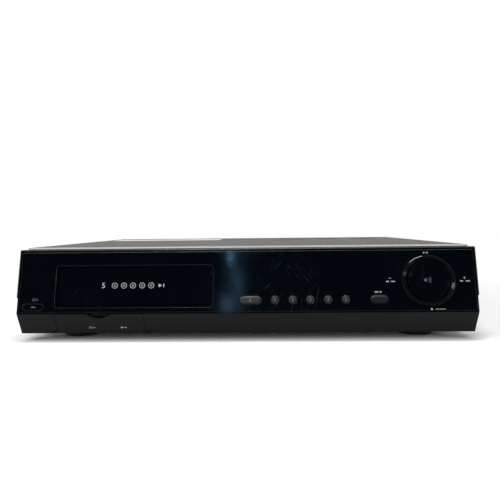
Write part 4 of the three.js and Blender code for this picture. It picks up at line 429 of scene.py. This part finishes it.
def dressed(node, body, width, segments=2, trims=(), where=None, flat_faces=False, wide=None, prepare=None):
    """A copy of a node's own shape with its edges rounded, in place of the plain node.

    where() gives the number of the trim finish of each rounded face, and of each flat one too if asked.
    Wide is a larger rounding and the test of the edges that get it. prepare() works on the copy first.
    """
    bm = bmesh.new()
    bm.from_mesh(nodes[node].data)
    bmesh.ops.remove_doubles(bm, verts=bm.verts[:], dist=1e-6)
    if prepare:
        prepare(bm)
    bmesh.ops.dissolve_limit(bm, angle_limit=math.radians(0.6), verts=bm.verts[:], edges=bm.edges[:])
    done = set()
    if wide:
        chosen = [edge for edge in sharp_edges(bm) if wide[1](edge)]
        for face in round_edges(bm, chosen, wide[0], 5):
            face.material_index = min(1, len(trims))
            done.update(face.verts)
    chosen = [edge for edge in sharp_edges(bm) if done.isdisjoint(edge.verts)]
    rounded = round_edges(bm, chosen, width, segments)
    if where:
        for face in bm.faces if flat_faces else rounded:
            trim = int(where(face.calc_center_median() / MM, face.normal))
            face.material_index = max(face.material_index, trim)
    return finish_piece(f"{node}_dressed", bm, body, slots[node], (node,), trims=trims)


def join(bm, other):
    """Adds another bmesh to the first, and frees it."""
    mesh = bpy.data.meshes.new("joined")
    other.to_mesh(mesh)
    other.free()
    bm.from_mesh(mesh)
    bpy.data.meshes.remove(mesh)


def turned(profile, steps):
    """A solid of revolution about Z from (radius, height) points in millimetres, from axis to axis."""
    bm = bmesh.new()
    points = [bm.verts.new((radius * MM, 0, height * MM)) for radius, height in profile]
    edges = [bm.edges.new(pair) for pair in zip(points, points[1:])]
    bmesh.ops.spin(
        bm, geom=points + edges, cent=(0, 0, 0), axis=(0, 0, 1), angle=math.tau, steps=steps, use_merge=True
    )
    bmesh.ops.remove_doubles(bm, verts=bm.verts[:], dist=1e-7)
    bmesh.ops.recalc_face_normals(bm, faces=bm.faces[:])
    return bm


def slab(width, height, low, high):
    """A slab about Z in millimetres, from low to high: round-ended if it is wide, oval if it is tall."""
    bm = bmesh.new()
    small = min(width, height) / 2 * MM
    rim = bmesh.ops.create_circle(bm, cap_ends=True, radius=small, segments=48)["verts"]
    stretch = max(width - height, 0) / 2 * MM
    for vert in rim:
        vert.co.x += math.copysign(stretch, vert.co.x) if abs(vert.co.x) > 1e-9 else 0
        vert.co.y *= max(height / width, 1)
        vert.co.z = low * MM
    face = bm.faces[:][0]
    raised = bmesh.ops.extrude_face_region(bm, geom=[face])["geom"]
    top = [part for part in raised if isinstance(part, bmesh.types.BMVert)]
    bmesh.ops.translate(bm, vec=(0, 0, (high - low) * MM), verts=top)
    bmesh.ops.recalc_face_normals(bm, faces=bm.faces[:])
    return bm


PRINT_LIFT = 0.02


def flat_shape(corners):
    """A thin flat plate from corner points in millimetres."""
    bm = bmesh.new()
    face = bm.faces.new([bm.verts.new((x * MM, y * MM, 0)) for x, y in corners])
    raised = bmesh.ops.extrude_face_region(bm, geom=[face])["geom"]
    top = [part for part in raised if isinstance(part, bmesh.types.BMVert)]
    bmesh.ops.translate(bm, vec=(0, 0, PRINT_LIFT * MM), verts=top)
    bmesh.ops.recalc_face_normals(bm, faces=bm.faces[:])
    return bm


def bar(x, y, width, height):
    """A thin upright rectangle with its middle at x, y."""
    left, right, low, high = x - width / 2, x + width / 2, y - height / 2, y + height / 2
    return flat_shape([(left, low), (right, low), (right, high), (left, high)])


# Mains lead, laid where its solids are: a free run, then the coil in two layers

def free_run():
    """The centre line from the strain relief to the coil, in millimetres: a curve through set points."""
    route = [
        (160, 213.8, 24), (160, 225, 22.9), (158.6, 239, 17.2), (154, 251, 10), (146, 262, 5),
        (134, 271, 3.6), (119, 276, 4.1), (104, 277.2, 4.25), (90.3, 277.225, 4.25),
    ]
    steps_between = 6
    points = [Vector(point) for point in route]
    before, after = 2 * points[0] - points[1], 2 * points[-1] - points[-2]
    chain = [before, *points, after]
    # A centripetal Catmull-Rom curve: d0 to d2 are the square roots of the spans
    path = []
    for p0, p1, p2, p3 in zip(chain, chain[1:], chain[2:], chain[3:]):
        d0, d1, d2 = ((b - a).length ** 0.5 for a, b in ((p0, p1), (p1, p2), (p2, p3)))
        leave = ((p1 - p0) / d0 - (p2 - p0) / (d0 + d1) + (p2 - p1) / d1) * d1
        arrive = ((p2 - p1) / d1 - (p3 - p1) / (d1 + d2) + (p3 - p2) / d2) * d1
        for step in range(steps_between):
            t = step / steps_between
            path.append(
                p1 * (2 * t**3 - 3 * t**2 + 1) + leave * (t**3 - 2 * t**2 + t)
                + p2 * (3 * t**2 - 2 * t**3) + arrive * (t**3 - t**2)
            )
    return path


def coil():
    """The centre line of the coil, in millimetres: inward on the floor, outward on top, and a tail."""
    path = []
    centre_x, centre_y, inner, pitch, height = 84, 233, 25.8, 6.7, 4.25
    turns, turns_inward, steps_per_turn, tail = 6, 2.75, 36, 22
    inward, steps = math.tau * turns_inward, turns * steps_per_turn
    rate = pitch / math.tau
    outer = inner + pitch * turns_inward
    for step in range(steps + 1):
        angle = math.tau * turns * step / steps
        radius, layer = outer - rate * angle, 0
        if angle > inward + math.pi:
            radius, layer = inner + rate * (angle - inward - math.pi), 1
        elif angle > inward:
            # The half turn that climbs to the second layer
            turn = angle - inward
            radius = inner - rate * turn + rate * turn * turn / math.pi
            layer = (turn / math.pi) ** 2 * (3 - 2 * turn / math.pi)
        around = math.pi / 2 + angle
        path.append(Vector((
            centre_x + radius * math.cos(around),
            centre_y + radius * math.sin(around),
            height + layer * pitch,
        )))
    path.append(path[-1] + Vector((-tail, 0, 0)))
    return path


def mains_lead():
    """The lead along the free run and the coil, in place of the plain cord nodes; its plug and tie are
    dressed apart.
    """
    path = [point * MM for point in free_run() + coil()]
    curve = bpy.data.curves.new("mains_lead", "CURVE")
    curve.dimensions = "3D"
    curve.bevel_depth = 0.003
    curve.bevel_resolution = 4
    curve.use_fill_caps = True
    line = curve.splines.new("POLY")
    line.points.add(len(path) - 1)
    for point, place in zip(line.points, path):
        point.co = (*place, 1)
    line.use_smooth = True
    curve.materials.append(finishes["rubber_black"])
    lead = bpy.data.objects.new("mains_lead", curve)
    bpy.context.scene.collection.objects.link(lead)
    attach(lead, CASE)
    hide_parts("cord_run", "cord_coil")


def blade_metal(middle, normal):
    """The plug's two blades, past the end of its body."""
    body_end = 19.6
    return middle.x < body_end


def runs_front_to_back(edge):
    """The tie's edges that run front to back, which get the wide rounding."""
    shortest = 0.004
    along = edge.verts[0].co - edge.verts[1].co
    return abs(along.y) > shortest


place_camera()
plug = dressed("cord_plug", CASE, 0.0003, 2, ("nickel",), blade_metal, True)
tie = dressed("cord_tie", CASE, 0.0001, 1, wide=(0.0032, runs_front_to_back))
mains_lead()


# Front: the frame, window and door, the lower fascia and its flap

def on_outer_edge(middle, normal):
    """The frame's top edge and its two side edges, seen from the front, which get the glossy edge with
    painted sheen.
    """
    top_from, side_from, front_to = 84.5, 213, -176
    return (middle.z > top_from or abs(middle.x) > side_from) and middle.y < front_to


def round_the_front(edge):
    """The frame's top front edge, its side front edges and the top edges of its cheeks."""
    top_from, side_from, front_to = 85.8, 214.8, -167
    shortest, level = 0.004, 0.00002
    middle = sum((vert.co for vert in edge.verts), Vector()) / 2 / MM
    if edge.calc_length() < shortest or middle.y > front_to:
        return False
    in_front = all(abs((PANEL.inverted() @ vert.co).z) < level for vert in edge.verts)
    on_top, on_side = middle.z > top_from, abs(middle.x) > side_from
    return in_front and (on_top or on_side) or on_top and on_side


def level_the_top(bm):
    """Closes the hairline groove behind the frame's top front edge."""
    groove_depth, groove_to, shortest = 0.0003, -0.1785, 0.00001
    top = max(vert.co.z for vert in bm.verts)
    for vert in bm.verts:
        if top - groove_depth < vert.co.z and vert.co.y < groove_to:
            vert.co.z = top
    bmesh.ops.dissolve_degenerate(bm, dist=shortest, edges=bm.edges[:])


def window_edge(middle, normal):
    """The rounded faces in front, with painted sheen, and a painted highlight of their own along the top."""
    top_from = 82.6
    if normal.y > -0.1:
        return 0
    return 2 if middle.z > top_from else 1


def on_the_lip(middle, normal):
    """The cover's front edge, painted light grey as a highlight along it."""
    top_from, front_to = 86.3, -170.5
    return middle.y < front_to and middle.z > top_from and normal.y < -0.2


# The frame, with painted sheen on its outer edges
dressed(
    "front_frame", CASE, 0.0006, 3, ("gloss_edge_dust_and_painted_sheen",), on_outer_edge,
    wide=(0.0011, round_the_front), prepare=level_the_top,
)
# The window's rounded faces: painted sheen round the openings, and a painted highlight along the top
dressed("front_window", CASE, 0.00035, 2, ("gloss_edge_dust_and_painted_sheen", "top_edge_painted_highlight"), window_edge)
dressed("tray_door", "door", 0.0003, 2)
for number in range(1, 6):
    dressed(f"disc_tray_{number}", CASE if number > 1 else "tray", 0.00035, 2, prepare=smooth_disc_recess)
dressed("lower_fascia", CASE, 0.0005, 3)
dressed("port_flap", "flap", 0.0003, 2)
# The top cover, its front edge painted light grey as a highlight
dressed("top_cover", CASE, 0.0002, 2, ("cover_lip_painted_highlight",), on_the_lip, True)


# Rear connectors

LEVER_COLOURS = ("tab_orange", "tab_blue", "tab_green", "tab_red", "tab_grey")
LEVERS_X, LEVER_PITCH = -22, 16.6
JACK_COLOURS = ("tab_yellow", "white_plastic", "tab_red")
JACKS_X, JACKS_Z, JACK_PITCH_X, JACK_PITCH_Z = -128, 32, 20, 14


def lever_colour(middle, normal):
    """The upper push levers each have a colour, and the lower ones stay black."""
    levers_from, upper_row_from = 186.2, 34
    if middle.y < levers_from or middle.z < upper_row_from:
        return 0
    return 1 + min(range(5), key=lambda i: abs(middle.x - (LEVERS_X + (i - 2) * LEVER_PITCH)))


def jack_colour(middle, normal):
    """A coloured collar round each jack's plated sleeve."""
    hole, sleeve, collar = 1.9, 4.3, 5.4
    collar_from, sleeve_from = 185.4, 187.5
    across = [middle.x - (JACKS_X + (i - 1) * JACK_PITCH_X) for i in range(3)]
    up = [middle.z - (JACKS_Z + (i - 0.5) * JACK_PITCH_Z) for i in range(2)]
    column = min(range(3), key=lambda i: abs(across[i]))
    row = min(range(2), key=lambda i: abs(up[i]))
    away = Vector((across[column], up[row])).length
    if middle.y < collar_from or away < hole or away > collar:
        return 0
    if away < sleeve and middle.y > sleeve_from:
        return 4
    return 1 if column == 0 else 3 - row


def coax_metal(middle, normal):
    """The plated aerial socket, over the wire terminals."""
    socket_from, terminals_top = 185.4, 38
    return middle.z > terminals_top and middle.y > socket_from


dressed("speaker_terminals", CASE, 0.0003, 2, LEVER_COLOURS, lever_colour, True)
dressed("av_block", CASE, 0.0002, 2, (*JACK_COLOURS, "nickel"), jack_colour, True)
dressed("aerial_block", CASE, 0.0003, 2, ("nickel",), coax_metal, True)


# Keys, knob and rocker ring. A key's own Z looks out of the panel, and its levels are in millimetres.

KEY_FACE, KEY_CROWN = 1.0, 0.1
CAP_BACK, SHANK_FRONT = -1.2, -1
FLANGE_BACK, FLANGE_FRONT, FLANGE_WIDER = -6.8, -5.7, 2.9
KEY_ROUNDING, CROWN_MARGIN = 0.7 * MM, 0.9 * MM
OPEN_KEY_X, FIRST_DISC_KEY_X, DISC_KEY_PITCH = 4.5, 27.3, 16.35
WIDE_CAP_DROP, DISC_CAP_DROP = 0.35, 0.3


def disc_key_x(number):
    return FIRST_DISC_KEY_X + DISC_KEY_PITCH * (number - 1)


def key(
    name, node, body, x, rise, width, height, tail, finish="button_grey", rim="key_edge_painted_highlight", rim_from=0.3,
    cap=None,
):
    """A key with a softly rounded front, its shank and its retaining flange.

    A cap has its own width and height, and a drop from the middle of the shank. The rim's finish, a painted
    highlight on most keys, is on the rounded faces that look up by more than rim_from.
    """
    cap_width, cap_height, drop = cap or (width, height, 0)
    bm = slab(cap_width, cap_height, CAP_BACK if cap else -tail, KEY_FACE - KEY_CROWN)
    front = [face for face in bm.faces if face.normal.z > 0.9]
    rounded = round_edges(bm, front[0].edges[:], KEY_ROUNDING, 4)
    bm.normal_update()
    for face in rounded:
        # Painted highlight: the rounding that looks up takes the rim finish
        face.material_index = int(face.normal.y > rim_from)
    front = max((face for face in bm.faces if face.normal.z > 0.9), key=lambda face: face.calc_area())
    bmesh.ops.inset_region(
        bm, faces=[front], thickness=CROWN_MARGIN, depth=KEY_CROWN * MM, use_even_offset=True
    )
    if cap:
        bmesh.ops.translate(bm, vec=(0, -drop * MM, 0), verts=bm.verts[:])
        shank = slab(width, height, -tail, SHANK_FRONT)
        # Painted shade: the shank, in the shadow of the hole, takes the near-black recess finish
        for face in shank.faces:
            face.material_index = 2
        join(bm, shank)
    join(bm, slab(width + FLANGE_WIDER, height + FLANGE_WIDER, FLANGE_BACK, FLANGE_FRONT))
    place = PANEL @ Matrix.Translation((x * MM, rise * MM, 0))
    return finish_piece(name, bm, body, finish, (node,), place, trims=(rim, "recess"))


key("standby_key", "power_button", "power_key", -198.3, 6.3, 20.3, 6.2, 8, "gloss_black", "ring_rim", -1)
key(
    "open_close_key", "open_button", "open_key", OPEN_KEY_X, KEY_RISE, 19.4, 7.5, 9,
    cap=(19.0, 6.8, WIDE_CAP_DROP),
)
key(
    "source_key", "function_button", "function_key", 123.4, KEY_RISE, 15.4, 7.5, 9, "slate_key",
    cap=(15.0, 6.8, WIDE_CAP_DROP),
)
for number in range(1, 6):
    key(
        f"disc_{number}_key", f"disc_button_{number}", f"disc_key_{number}", disc_key_x(number), KEY_RISE,
        7, 7.7, 9, cap=(6.2, 7.1, DISC_CAP_DROP),
    )


KNOB_FACE = 3.5
KNOB_PLACE = PANEL @ Matrix.Translation((KNOB_X * MM, KNOB_RISE * MM, 0))
knob_profile = [
    (0, -9.2), (3, -9.2), (3, 1.7), (17.5, 1.7), (17.5, -1.5), (19.3, -1.5), (19.3, 3.5), (19.15, 4.05),
    (18.75, 4.35), (18.2, 4.4), (17.6, 4.25), (17.0, 3.9), (16.2, 3.65), (12, 3.52), (0, KNOB_FACE),
]
finish_piece(
    "volume_knob_turned", turned(knob_profile, 96), "knob", "gloss_black", ("volume_knob",), KNOB_PLACE
)
ring_profile = [
    (20.1, -6), (24.7, -6), (24.7, 1.7), (24.64, 2.1), (24.5, 2.44), (23.9, 2.79), (22.9, 3.08),
    (21.9, 3.37), (21.1, 3.6), (20.75, 3.6), (20.45, 3.4), (20.2, 3.0), (20.1, 2.5),
]


def rocker_ring():
    """The ring, a little less high than wide, with the pins that it rocks on."""
    half_width, half_height = 24.7, 23.5
    round_to, blend = 20.3, 2.2
    rim_from, rim_above = 22.4, 2.35
    pin_radius, pin_start, pin_end, pin_depth = 0.9, 16.4, 21, 5.7
    bm = bmesh.new()
    points = [bm.verts.new((radius * MM, 0, height * MM)) for radius, height in ring_profile]
    edges = [bm.edges.new(pair) for pair in zip(points, points[1:] + points[:1])]
    bmesh.ops.spin(
        bm, geom=points + edges, cent=(0, 0, 0), axis=(0, 0, 1), angle=math.tau, steps=120, use_merge=True
    )
    bmesh.ops.remove_doubles(bm, verts=bm.verts[:], dist=1e-7)
    for vert in bm.verts:
        radius = Vector((vert.co.x, vert.co.y)).length / MM
        share = max(0, min(1, (radius - round_to) / blend))
        vert.co.y *= 1 - (1 - half_height / half_width) * share
    bmesh.ops.recalc_face_normals(bm, faces=bm.faces[:])
    for face in bm.faces:
        middle = face.calc_center_median() / MM
        if middle.z > rim_above and middle.xy.length > rim_from and face.normal.z < 0.92:
            face.material_index = 1
    for side in (-1, 1):
        pin = turned([(0, pin_start), (pin_radius, pin_start), (pin_radius, pin_end), (0, pin_end)], 16)
        lay = Matrix.Rotation(-side * math.pi / 2, 3, "X")
        bmesh.ops.rotate(pin, verts=pin.verts[:], cent=(0, 0, 0), matrix=lay)
        bmesh.ops.translate(pin, vec=(0, 0, -pin_depth * MM), verts=pin.verts[:])
        join(bm, pin)
    return bm


finish_piece(
    "rocker_ring", rocker_ring(), "ring", "ring_black", ("jog_ring",), KNOB_PLACE,
    trims=("ring_rim",), angle=9,
)


# Printed symbols: plain pictograms and numbers, laid a hair above the surface

def arrow(x, y, size, direction):
    """A triangle that points right (1) or left (-1)."""
    reach = size / 2
    back, tip = x - direction * reach, x + direction * reach
    return flat_shape([(back, y - reach), (tip, y), (back, y + reach)])


def arrow_up(x, y, size):
    """A triangle that points up."""
    reach = size / 2
    return flat_shape([(x - reach, y - reach / 2), (x + reach, y - reach / 2), (x, y + reach)])


def hoop(x, y, radius, line, start=0, sweep=360, steps=24):
    """A thin ring or arc of a ring, from a start angle over a sweep, in degrees."""
    bm = bmesh.new()
    low, high = (radius - line / 2) * MM, (radius + line / 2) * MM
    top = PRINT_LIFT * MM
    face = bm.faces.new([bm.verts.new((r, 0, z)) for r, z in ((low, 0), (high, 0), (high, top), (low, top))])
    lay = Matrix.Rotation(math.radians(start), 3, "Z")
    bmesh.ops.rotate(bm, verts=bm.verts[:], cent=(0, 0, 0), matrix=lay)
    full = sweep >= 360
    if full:
        bmesh.ops.delete(bm, geom=[face], context="FACES_ONLY")
        geometry = bm.verts[:] + bm.edges[:]
    else:
        geometry = [face]
    bmesh.ops.spin(
        bm, geom=geometry, cent=(0, 0, 0), axis=(0, 0, 1), angle=math.radians(sweep), steps=steps,
        use_merge=full,
    )
    bmesh.ops.remove_doubles(bm, verts=bm.verts[:], dist=1e-8)
    bmesh.ops.recalc_face_normals(bm, faces=bm.faces[:])
    bmesh.ops.translate(bm, vec=(x * MM, y * MM, 0), verts=bm.verts[:])
    return bm


def numeral(text, x, y, size):
    """A number as a thin plate, its middle at x, y."""
    curve = bpy.data.curves.new("numeral", "FONT")
    curve.body = text
    curve.size = size * MM
    curve.align_x = "CENTER"
    curve.align_y = "CENTER"
    curve.extrude = PRINT_LIFT / 2 * MM
    maker = bpy.data.objects.new("numeral", curve)
    bpy.context.scene.collection.objects.link(maker)
    bpy.context.view_layer.update()
    mesh = bpy.data.meshes.new_from_object(maker)
    bm = bmesh.new()
    bm.from_mesh(mesh)
    bpy.data.objects.remove(maker)
    bpy.data.meshes.remove(mesh)
    bmesh.ops.remove_doubles(bm, verts=bm.verts[:], dist=1e-7)
    bmesh.ops.translate(bm, vec=(x * MM, y * MM, PRINT_LIFT / 2 * MM), verts=bm.verts[:])
    return bm


def print_on(name, shapes, body, place, finish="print_silver"):
    """One piece of several shapes, laid on a body's surface."""
    whole = shapes[0]
    for shape in shapes[1:]:
        join(whole, shape)
    return finish_piece(name, whole, body, finish, (), place)


WINDOW_FACE = PANEL @ Matrix.Translation((0, 0, -0.0003))
DOOR_FACE = PANEL @ Matrix.Translation((0, 0, -0.0008))
window_print = [
    # Left of the ring
    bar(134.1, 31.4, 2.0, 0.4), arrow(130.8, 28.4, 1.5, -1), arrow(132.3, 28.4, 1.5, -1),
    arrow(136.2, 28.4, 1.5, -1), arrow(137.7, 28.4, 1.5, -1), bar(135.2, 28.4, 0.35, 1.5),
    # Right of the ring
    bar(202.5, 31.4, 2.0, 0.4), bar(202.5, 31.4, 0.4, 2.0),
    arrow(199.0, 28.4, 1.5, 1), arrow(200.5, 28.4, 1.5, 1),
    arrow(204.4, 28.4, 1.5, 1), arrow(205.9, 28.4, 1.5, 1), bar(206.9, 28.4, 0.35, 1.5),
    # Play and pause over the ring, stop under it
    arrow(167.0, 55.4, 1.7, 1), bar(169.2, 55.4, 0.45, 1.7), bar(170.3, 55.4, 0.45, 1.7),
    bar(170.6, 2.6, 1.6, 1.6), bar(178.6, 2.6, 9.4, 0.4),
    # Over the function key
    bar(121.2, 18.2, 3.4, 0.4), bar(121.2, 19.2, 3.4, 0.4), arrow(125.2, 18.7, 1.8, 1),
]
print_on("window_print", window_print, CASE, WINDOW_FACE)
standby_print = [
    hoop(-198.4, 13.4, 1.15, 0.35, 130, 280), bar(-198.4, 14.4, 0.35, 1.4), bar(-196.1, 13.4, 0.3, 2.4),
    bar(-194.6, 13.4, 0.35, 2.2),
]
print_on("standby_print", standby_print, CASE, WINDOW_FACE, "print_dim")
door_print = [numeral("5", -133.2, 26.3, 7)]
first_disc, disc_pitch, disc_rise = -122.6, 8.6, 26.4
for x in (first_disc + disc_pitch * place for place in range(5)):
    door_print += [hoop(x, disc_rise, 2.5, 0.45), hoop(x, disc_rise, 0.75, 0.35)]
door_print += [arrow(-79.6, 26.3, 3.2, 1), bar(-76.4, 26.3, 0.7, 3.2)]
print_on("door_print", door_print, "door", DOOR_FACE)


def on_key(x, rise):
    """The place of a print on a key's face, from the panel's x and rise in millimetres."""
    return PANEL @ Matrix.Translation(Vector((x, rise, KEY_FACE)) * MM)


for number in range(1, 6):
    print_on(
        f"disc_{number}_numeral", [numeral(str(number), 0, 0, 4.2)], f"disc_key_{number}",
        on_key(disc_key_x(number), KEY_RISE - DISC_CAP_DROP), "print_key",
    )
print_on(
    "open_close_print", [arrow_up(0, 0.5, 2.2), bar(0, -1.1, 2.2, 0.5)], "open_key",
    on_key(OPEN_KEY_X, KEY_RISE - WIDE_CAP_DROP), "print_key",
)
print_on("standby_lamp", [bar(0, 0, 4.2, 0.9)], "power_key", on_key(-197.8, 6.2), "print_dim")
knob_print = [
    flat_shape([(-4.2, -0.9), (-3.2, -0.9), (-1.9, -1.9), (-1.9, 1.9), (-3.2, 0.9), (-4.2, 0.9)]),
    hoop(-2.2, 0, 2.6, 0.4, -40, 80, 10), hoop(-2.2, 0, 4.2, 0.4, -40, 80, 12),
]
print_on(
    "knob_print", knob_print, "knob", KNOB_PLACE @ Matrix.Translation((0, 0, KNOB_FACE * MM)), "print_dim"
)
flap_print = [
    hoop(-146.2, 6.9, 1.0, 0.35, 0, 180, 12), bar(-147.2, 6.4, 0.5, 1.2), bar(-145.2, 6.4, 0.5, 1.2),
    arrow(-142.6, 6.7, 1.6, 1),
    bar(-116.8, 6.7, 1.4, 1.9), bar(-114.6, 6.7, 3.0, 0.4), arrow(-112.6, 6.7, 1.4, 1),
]
print_on("flap_print", flap_print, "flap", STRIP)


# Blank labels, and screws

COVER_TOP, REAR_FACE, SIDE_FACE = 0.088, 0.1835, 0.212
LABEL_GAP = 0.00002
REAR = Matrix.Rotation(-math.pi / 2, 4, "X")
screw_profile = [(0, -0.2), (3.1, -0.2), (3.1, 0.35), (2.7, 0.95), (1.9, 1.35), (0.9, 1.5), (0, 1.5)]


def screw(name, place):
    """A pan-head screw, with two bars of painted shade on its head for the cross recess."""
    long, thin, level = 2.5, 0.55, 1.49
    bm = turned(screw_profile, 32)
    for across, up in ((long, thin), (thin, long)):
        arm = bar(0, 0, across, up)
        bmesh.ops.translate(arm, vec=(0, 0, level * MM), verts=arm.verts[:])
        # Painted shade: flat near-black bars stand in for the shadowed cross recess
        for face in arm.faces:
            face.material_index = 1
        join(bm, arm)
    return finish_piece(name, bm, CASE, "zinc_steel", (), place, trims=("recess",))


finish_piece(
    "rear_label", bar(-121.5, 107, 151, 50), CASE, "blank_label", (),
    Matrix.Translation((0, 0, COVER_TOP + LABEL_GAP)),
)
finish_piece(
    "rating_plate", bar(0, 0, 54, 22), CASE, "plate_silver", (),
    Matrix.Translation((0.128, REAR_FACE + LABEL_GAP, 0.060)) @ REAR,
)
rear_screws = (
    (-202, 80), (-120, 80), (-20, 80), (100, 80), (202, 80), (-206, 20), (30.5, 16), (206, 40), (-84, 30),
)
for number, (x, z) in enumerate(rear_screws, 1):
    screw(f"rear_screw_{number}", Matrix.Translation((x * MM, REAR_FACE, z * MM)) @ REAR)
for side, label in ((-1, "left"), (1, "right")):
    lay = Matrix.Rotation(side * math.pi / 2, 4, "Y")
    for number, (y, z) in enumerate(((-120, 17), (140, 17)), 1):
        screw(f"{label}_screw_{number}", Matrix.Translation((side * SIDE_FACE, y * MM, z * MM)) @ lay)


# Floor, light and background

def shown_to_eye(tree):
    """1 where the camera, a reflection or clear glass sees the surface, 0 where it only throws light."""
    link = tree.links.new
    path = add_node(tree, "ShaderNodeLightPath")
    first = add_node(tree, "ShaderNodeMath", operation="MAXIMUM")
    second = add_node(tree, "ShaderNodeMath", operation="MAXIMUM")
    link(path.outputs["Is Camera Ray"], first.inputs[0])
    link(path.outputs["Is Glossy Ray"], first.inputs[1])
    link(first.outputs[0], second.inputs[0])
    link(path.outputs["Is Transmission Ray"], second.inputs[1])
    return second.outputs[0]


def pale_floor():
    """A pale floor that keeps the shadow near the object and runs out into the white background."""
    bm = bmesh.new()
    half_size, below = 12, 0.0002
    bmesh.ops.create_grid(bm, x_segments=1, y_segments=1, size=half_size)
    bmesh.ops.translate(bm, vec=(0, 0, -below), verts=bm.verts[:])
    mesh = bpy.data.meshes.new("floor")
    bm.to_mesh(mesh)
    bm.free()
    floor = bpy.data.objects.new("floor", mesh)
    bpy.context.scene.collection.objects.link(floor)
    pale = bpy.data.materials.new("pale_floor")
    pale.use_nodes = True
    tree = pale.node_tree
    link = tree.links.new
    surface = tree.nodes["Principled BSDF"]
    surface.inputs["Base Color"].default_value = (0.88, 0.88, 0.88, 1)
    surface.inputs["Roughness"].default_value = 0.9
    surface.inputs["Specular IOR Level"].default_value = 0.1
    white = add_node(tree, "ShaderNodeEmission", {"Color": (1, 1, 1, 1), "Strength": 1})
    place = add_node(tree, "ShaderNodeTexCoord")
    away = add_node(tree, "ShaderNodeVectorMath", operation="LENGTH")
    reach = add_node(
        tree, "ShaderNodeMapRange", {"From Min": 0.26, "From Max": 0.62}, interpolation_type="SMOOTHSTEP"
    )
    share = add_node(tree, "ShaderNodeMath", operation="MULTIPLY")
    blend = add_node(tree, "ShaderNodeMixShader")
    link(place.outputs["Object"], away.inputs[0])
    link(away.outputs["Value"], reach.inputs["Value"])
    link(reach.outputs["Result"], share.inputs[0])
    link(shown_to_eye(tree), share.inputs[1])
    link(share.outputs[0], blend.inputs["Fac"])
    link(surface.outputs[0], blend.inputs[1])
    link(white.outputs[0], blend.inputs[2])
    link(blend.outputs[0], tree.nodes["Material Output"].inputs["Surface"])
    mesh.materials.append(pale)


def white_world():
    """Even light from all round, and plain white where the eye sees past the object."""
    world = bpy.data.worlds.new("studio")
    bpy.context.scene.world = world
    world.use_nodes = True
    tree = world.node_tree
    link = tree.links.new
    lit = tree.nodes["Background"]
    lit.inputs["Color"].default_value = (1, 1, 1, 1)
    lit.inputs["Strength"].default_value = 0.5
    seen = add_node(tree, "ShaderNodeBackground", {"Color": (1, 1, 1, 1), "Strength": 1})
    blend = add_node(tree, "ShaderNodeMixShader")
    link(shown_to_eye(tree), blend.inputs["Fac"])
    link(lit.outputs[0], blend.inputs[1])
    link(seen.outputs[0], blend.inputs[2])
    link(blend.outputs[0], tree.nodes["World Output"].inputs["Surface"])


def lamp(name, place, width, height, power, colour=(1, 1, 1), spin=None):
    """A soft area lamp aimed at the front of the object, or straight down when it has a spin about Z."""
    aim = Vector((0, -0.15, 0.05))
    data = bpy.data.lights.new(name, "AREA")
    data.shape = "RECTANGLE"
    data.size, data.size_y = width, height
    data.energy = power
    data.color = colour
    light = bpy.data.objects.new(name, data)
    bpy.context.scene.collection.objects.link(light)
    light.location = place
    if spin is None:
        light.rotation_euler = (aim - Vector(place)).to_track_quat("-Z", "Y").to_euler()
    else:
        light.rotation_euler = (0, 0, math.radians(spin))


pale_floor()
white_world()
lamp("ceiling_tube", (-0.013, -0.43, 1.65), 0.82, 0.11, 15, spin=22.2)
lamp("left_fill", (-1.3, -0.6, 1.0), 0.6, 0.5, 7)
lamp("left_low", (-1.15, -0.95, 0.28), 0.4, 0.3, 3.3)
lamp("ring_glint_left", (-0.179, -1.131, 0.729), 0.14, 0.14, 1.1)
lamp("ring_glint_right", (0.945, -0.821, 0.240), 0.12, 0.12, 2.3)
lamp("front_fill", (-0.35, -1.25, 1.75), 0.7, 0.5, 4)
# The bluish streak that a far window makes in the gloss front
for name, x, y, z, width, height, power in (
    ("pane_top", -0.110, -1.52, 0.768, 0.013, 0.06, 0.36),
    ("pane_crest", -0.070, -1.52, 0.792, 0.17, 0.024, 0.10),
    ("pane_upper", -0.097, -1.55, 0.715, 0.024, 0.12, 0.15),
    ("pane_lower", -0.078, -1.55, 0.645, 0.026, 0.12, 0.20),
    ("pane_low", -0.122, -1.58, 0.600, 0.05, 0.06, 0.30),
    ("pane_haze", -0.098, -1.60, 0.69, 0.10, 0.36, 0.45),
):
    lamp(name, (x, y, z), width, height, power, (0.86, 0.94, 1))
bpy.context.scene.view_settings.view_transform = "Standard"
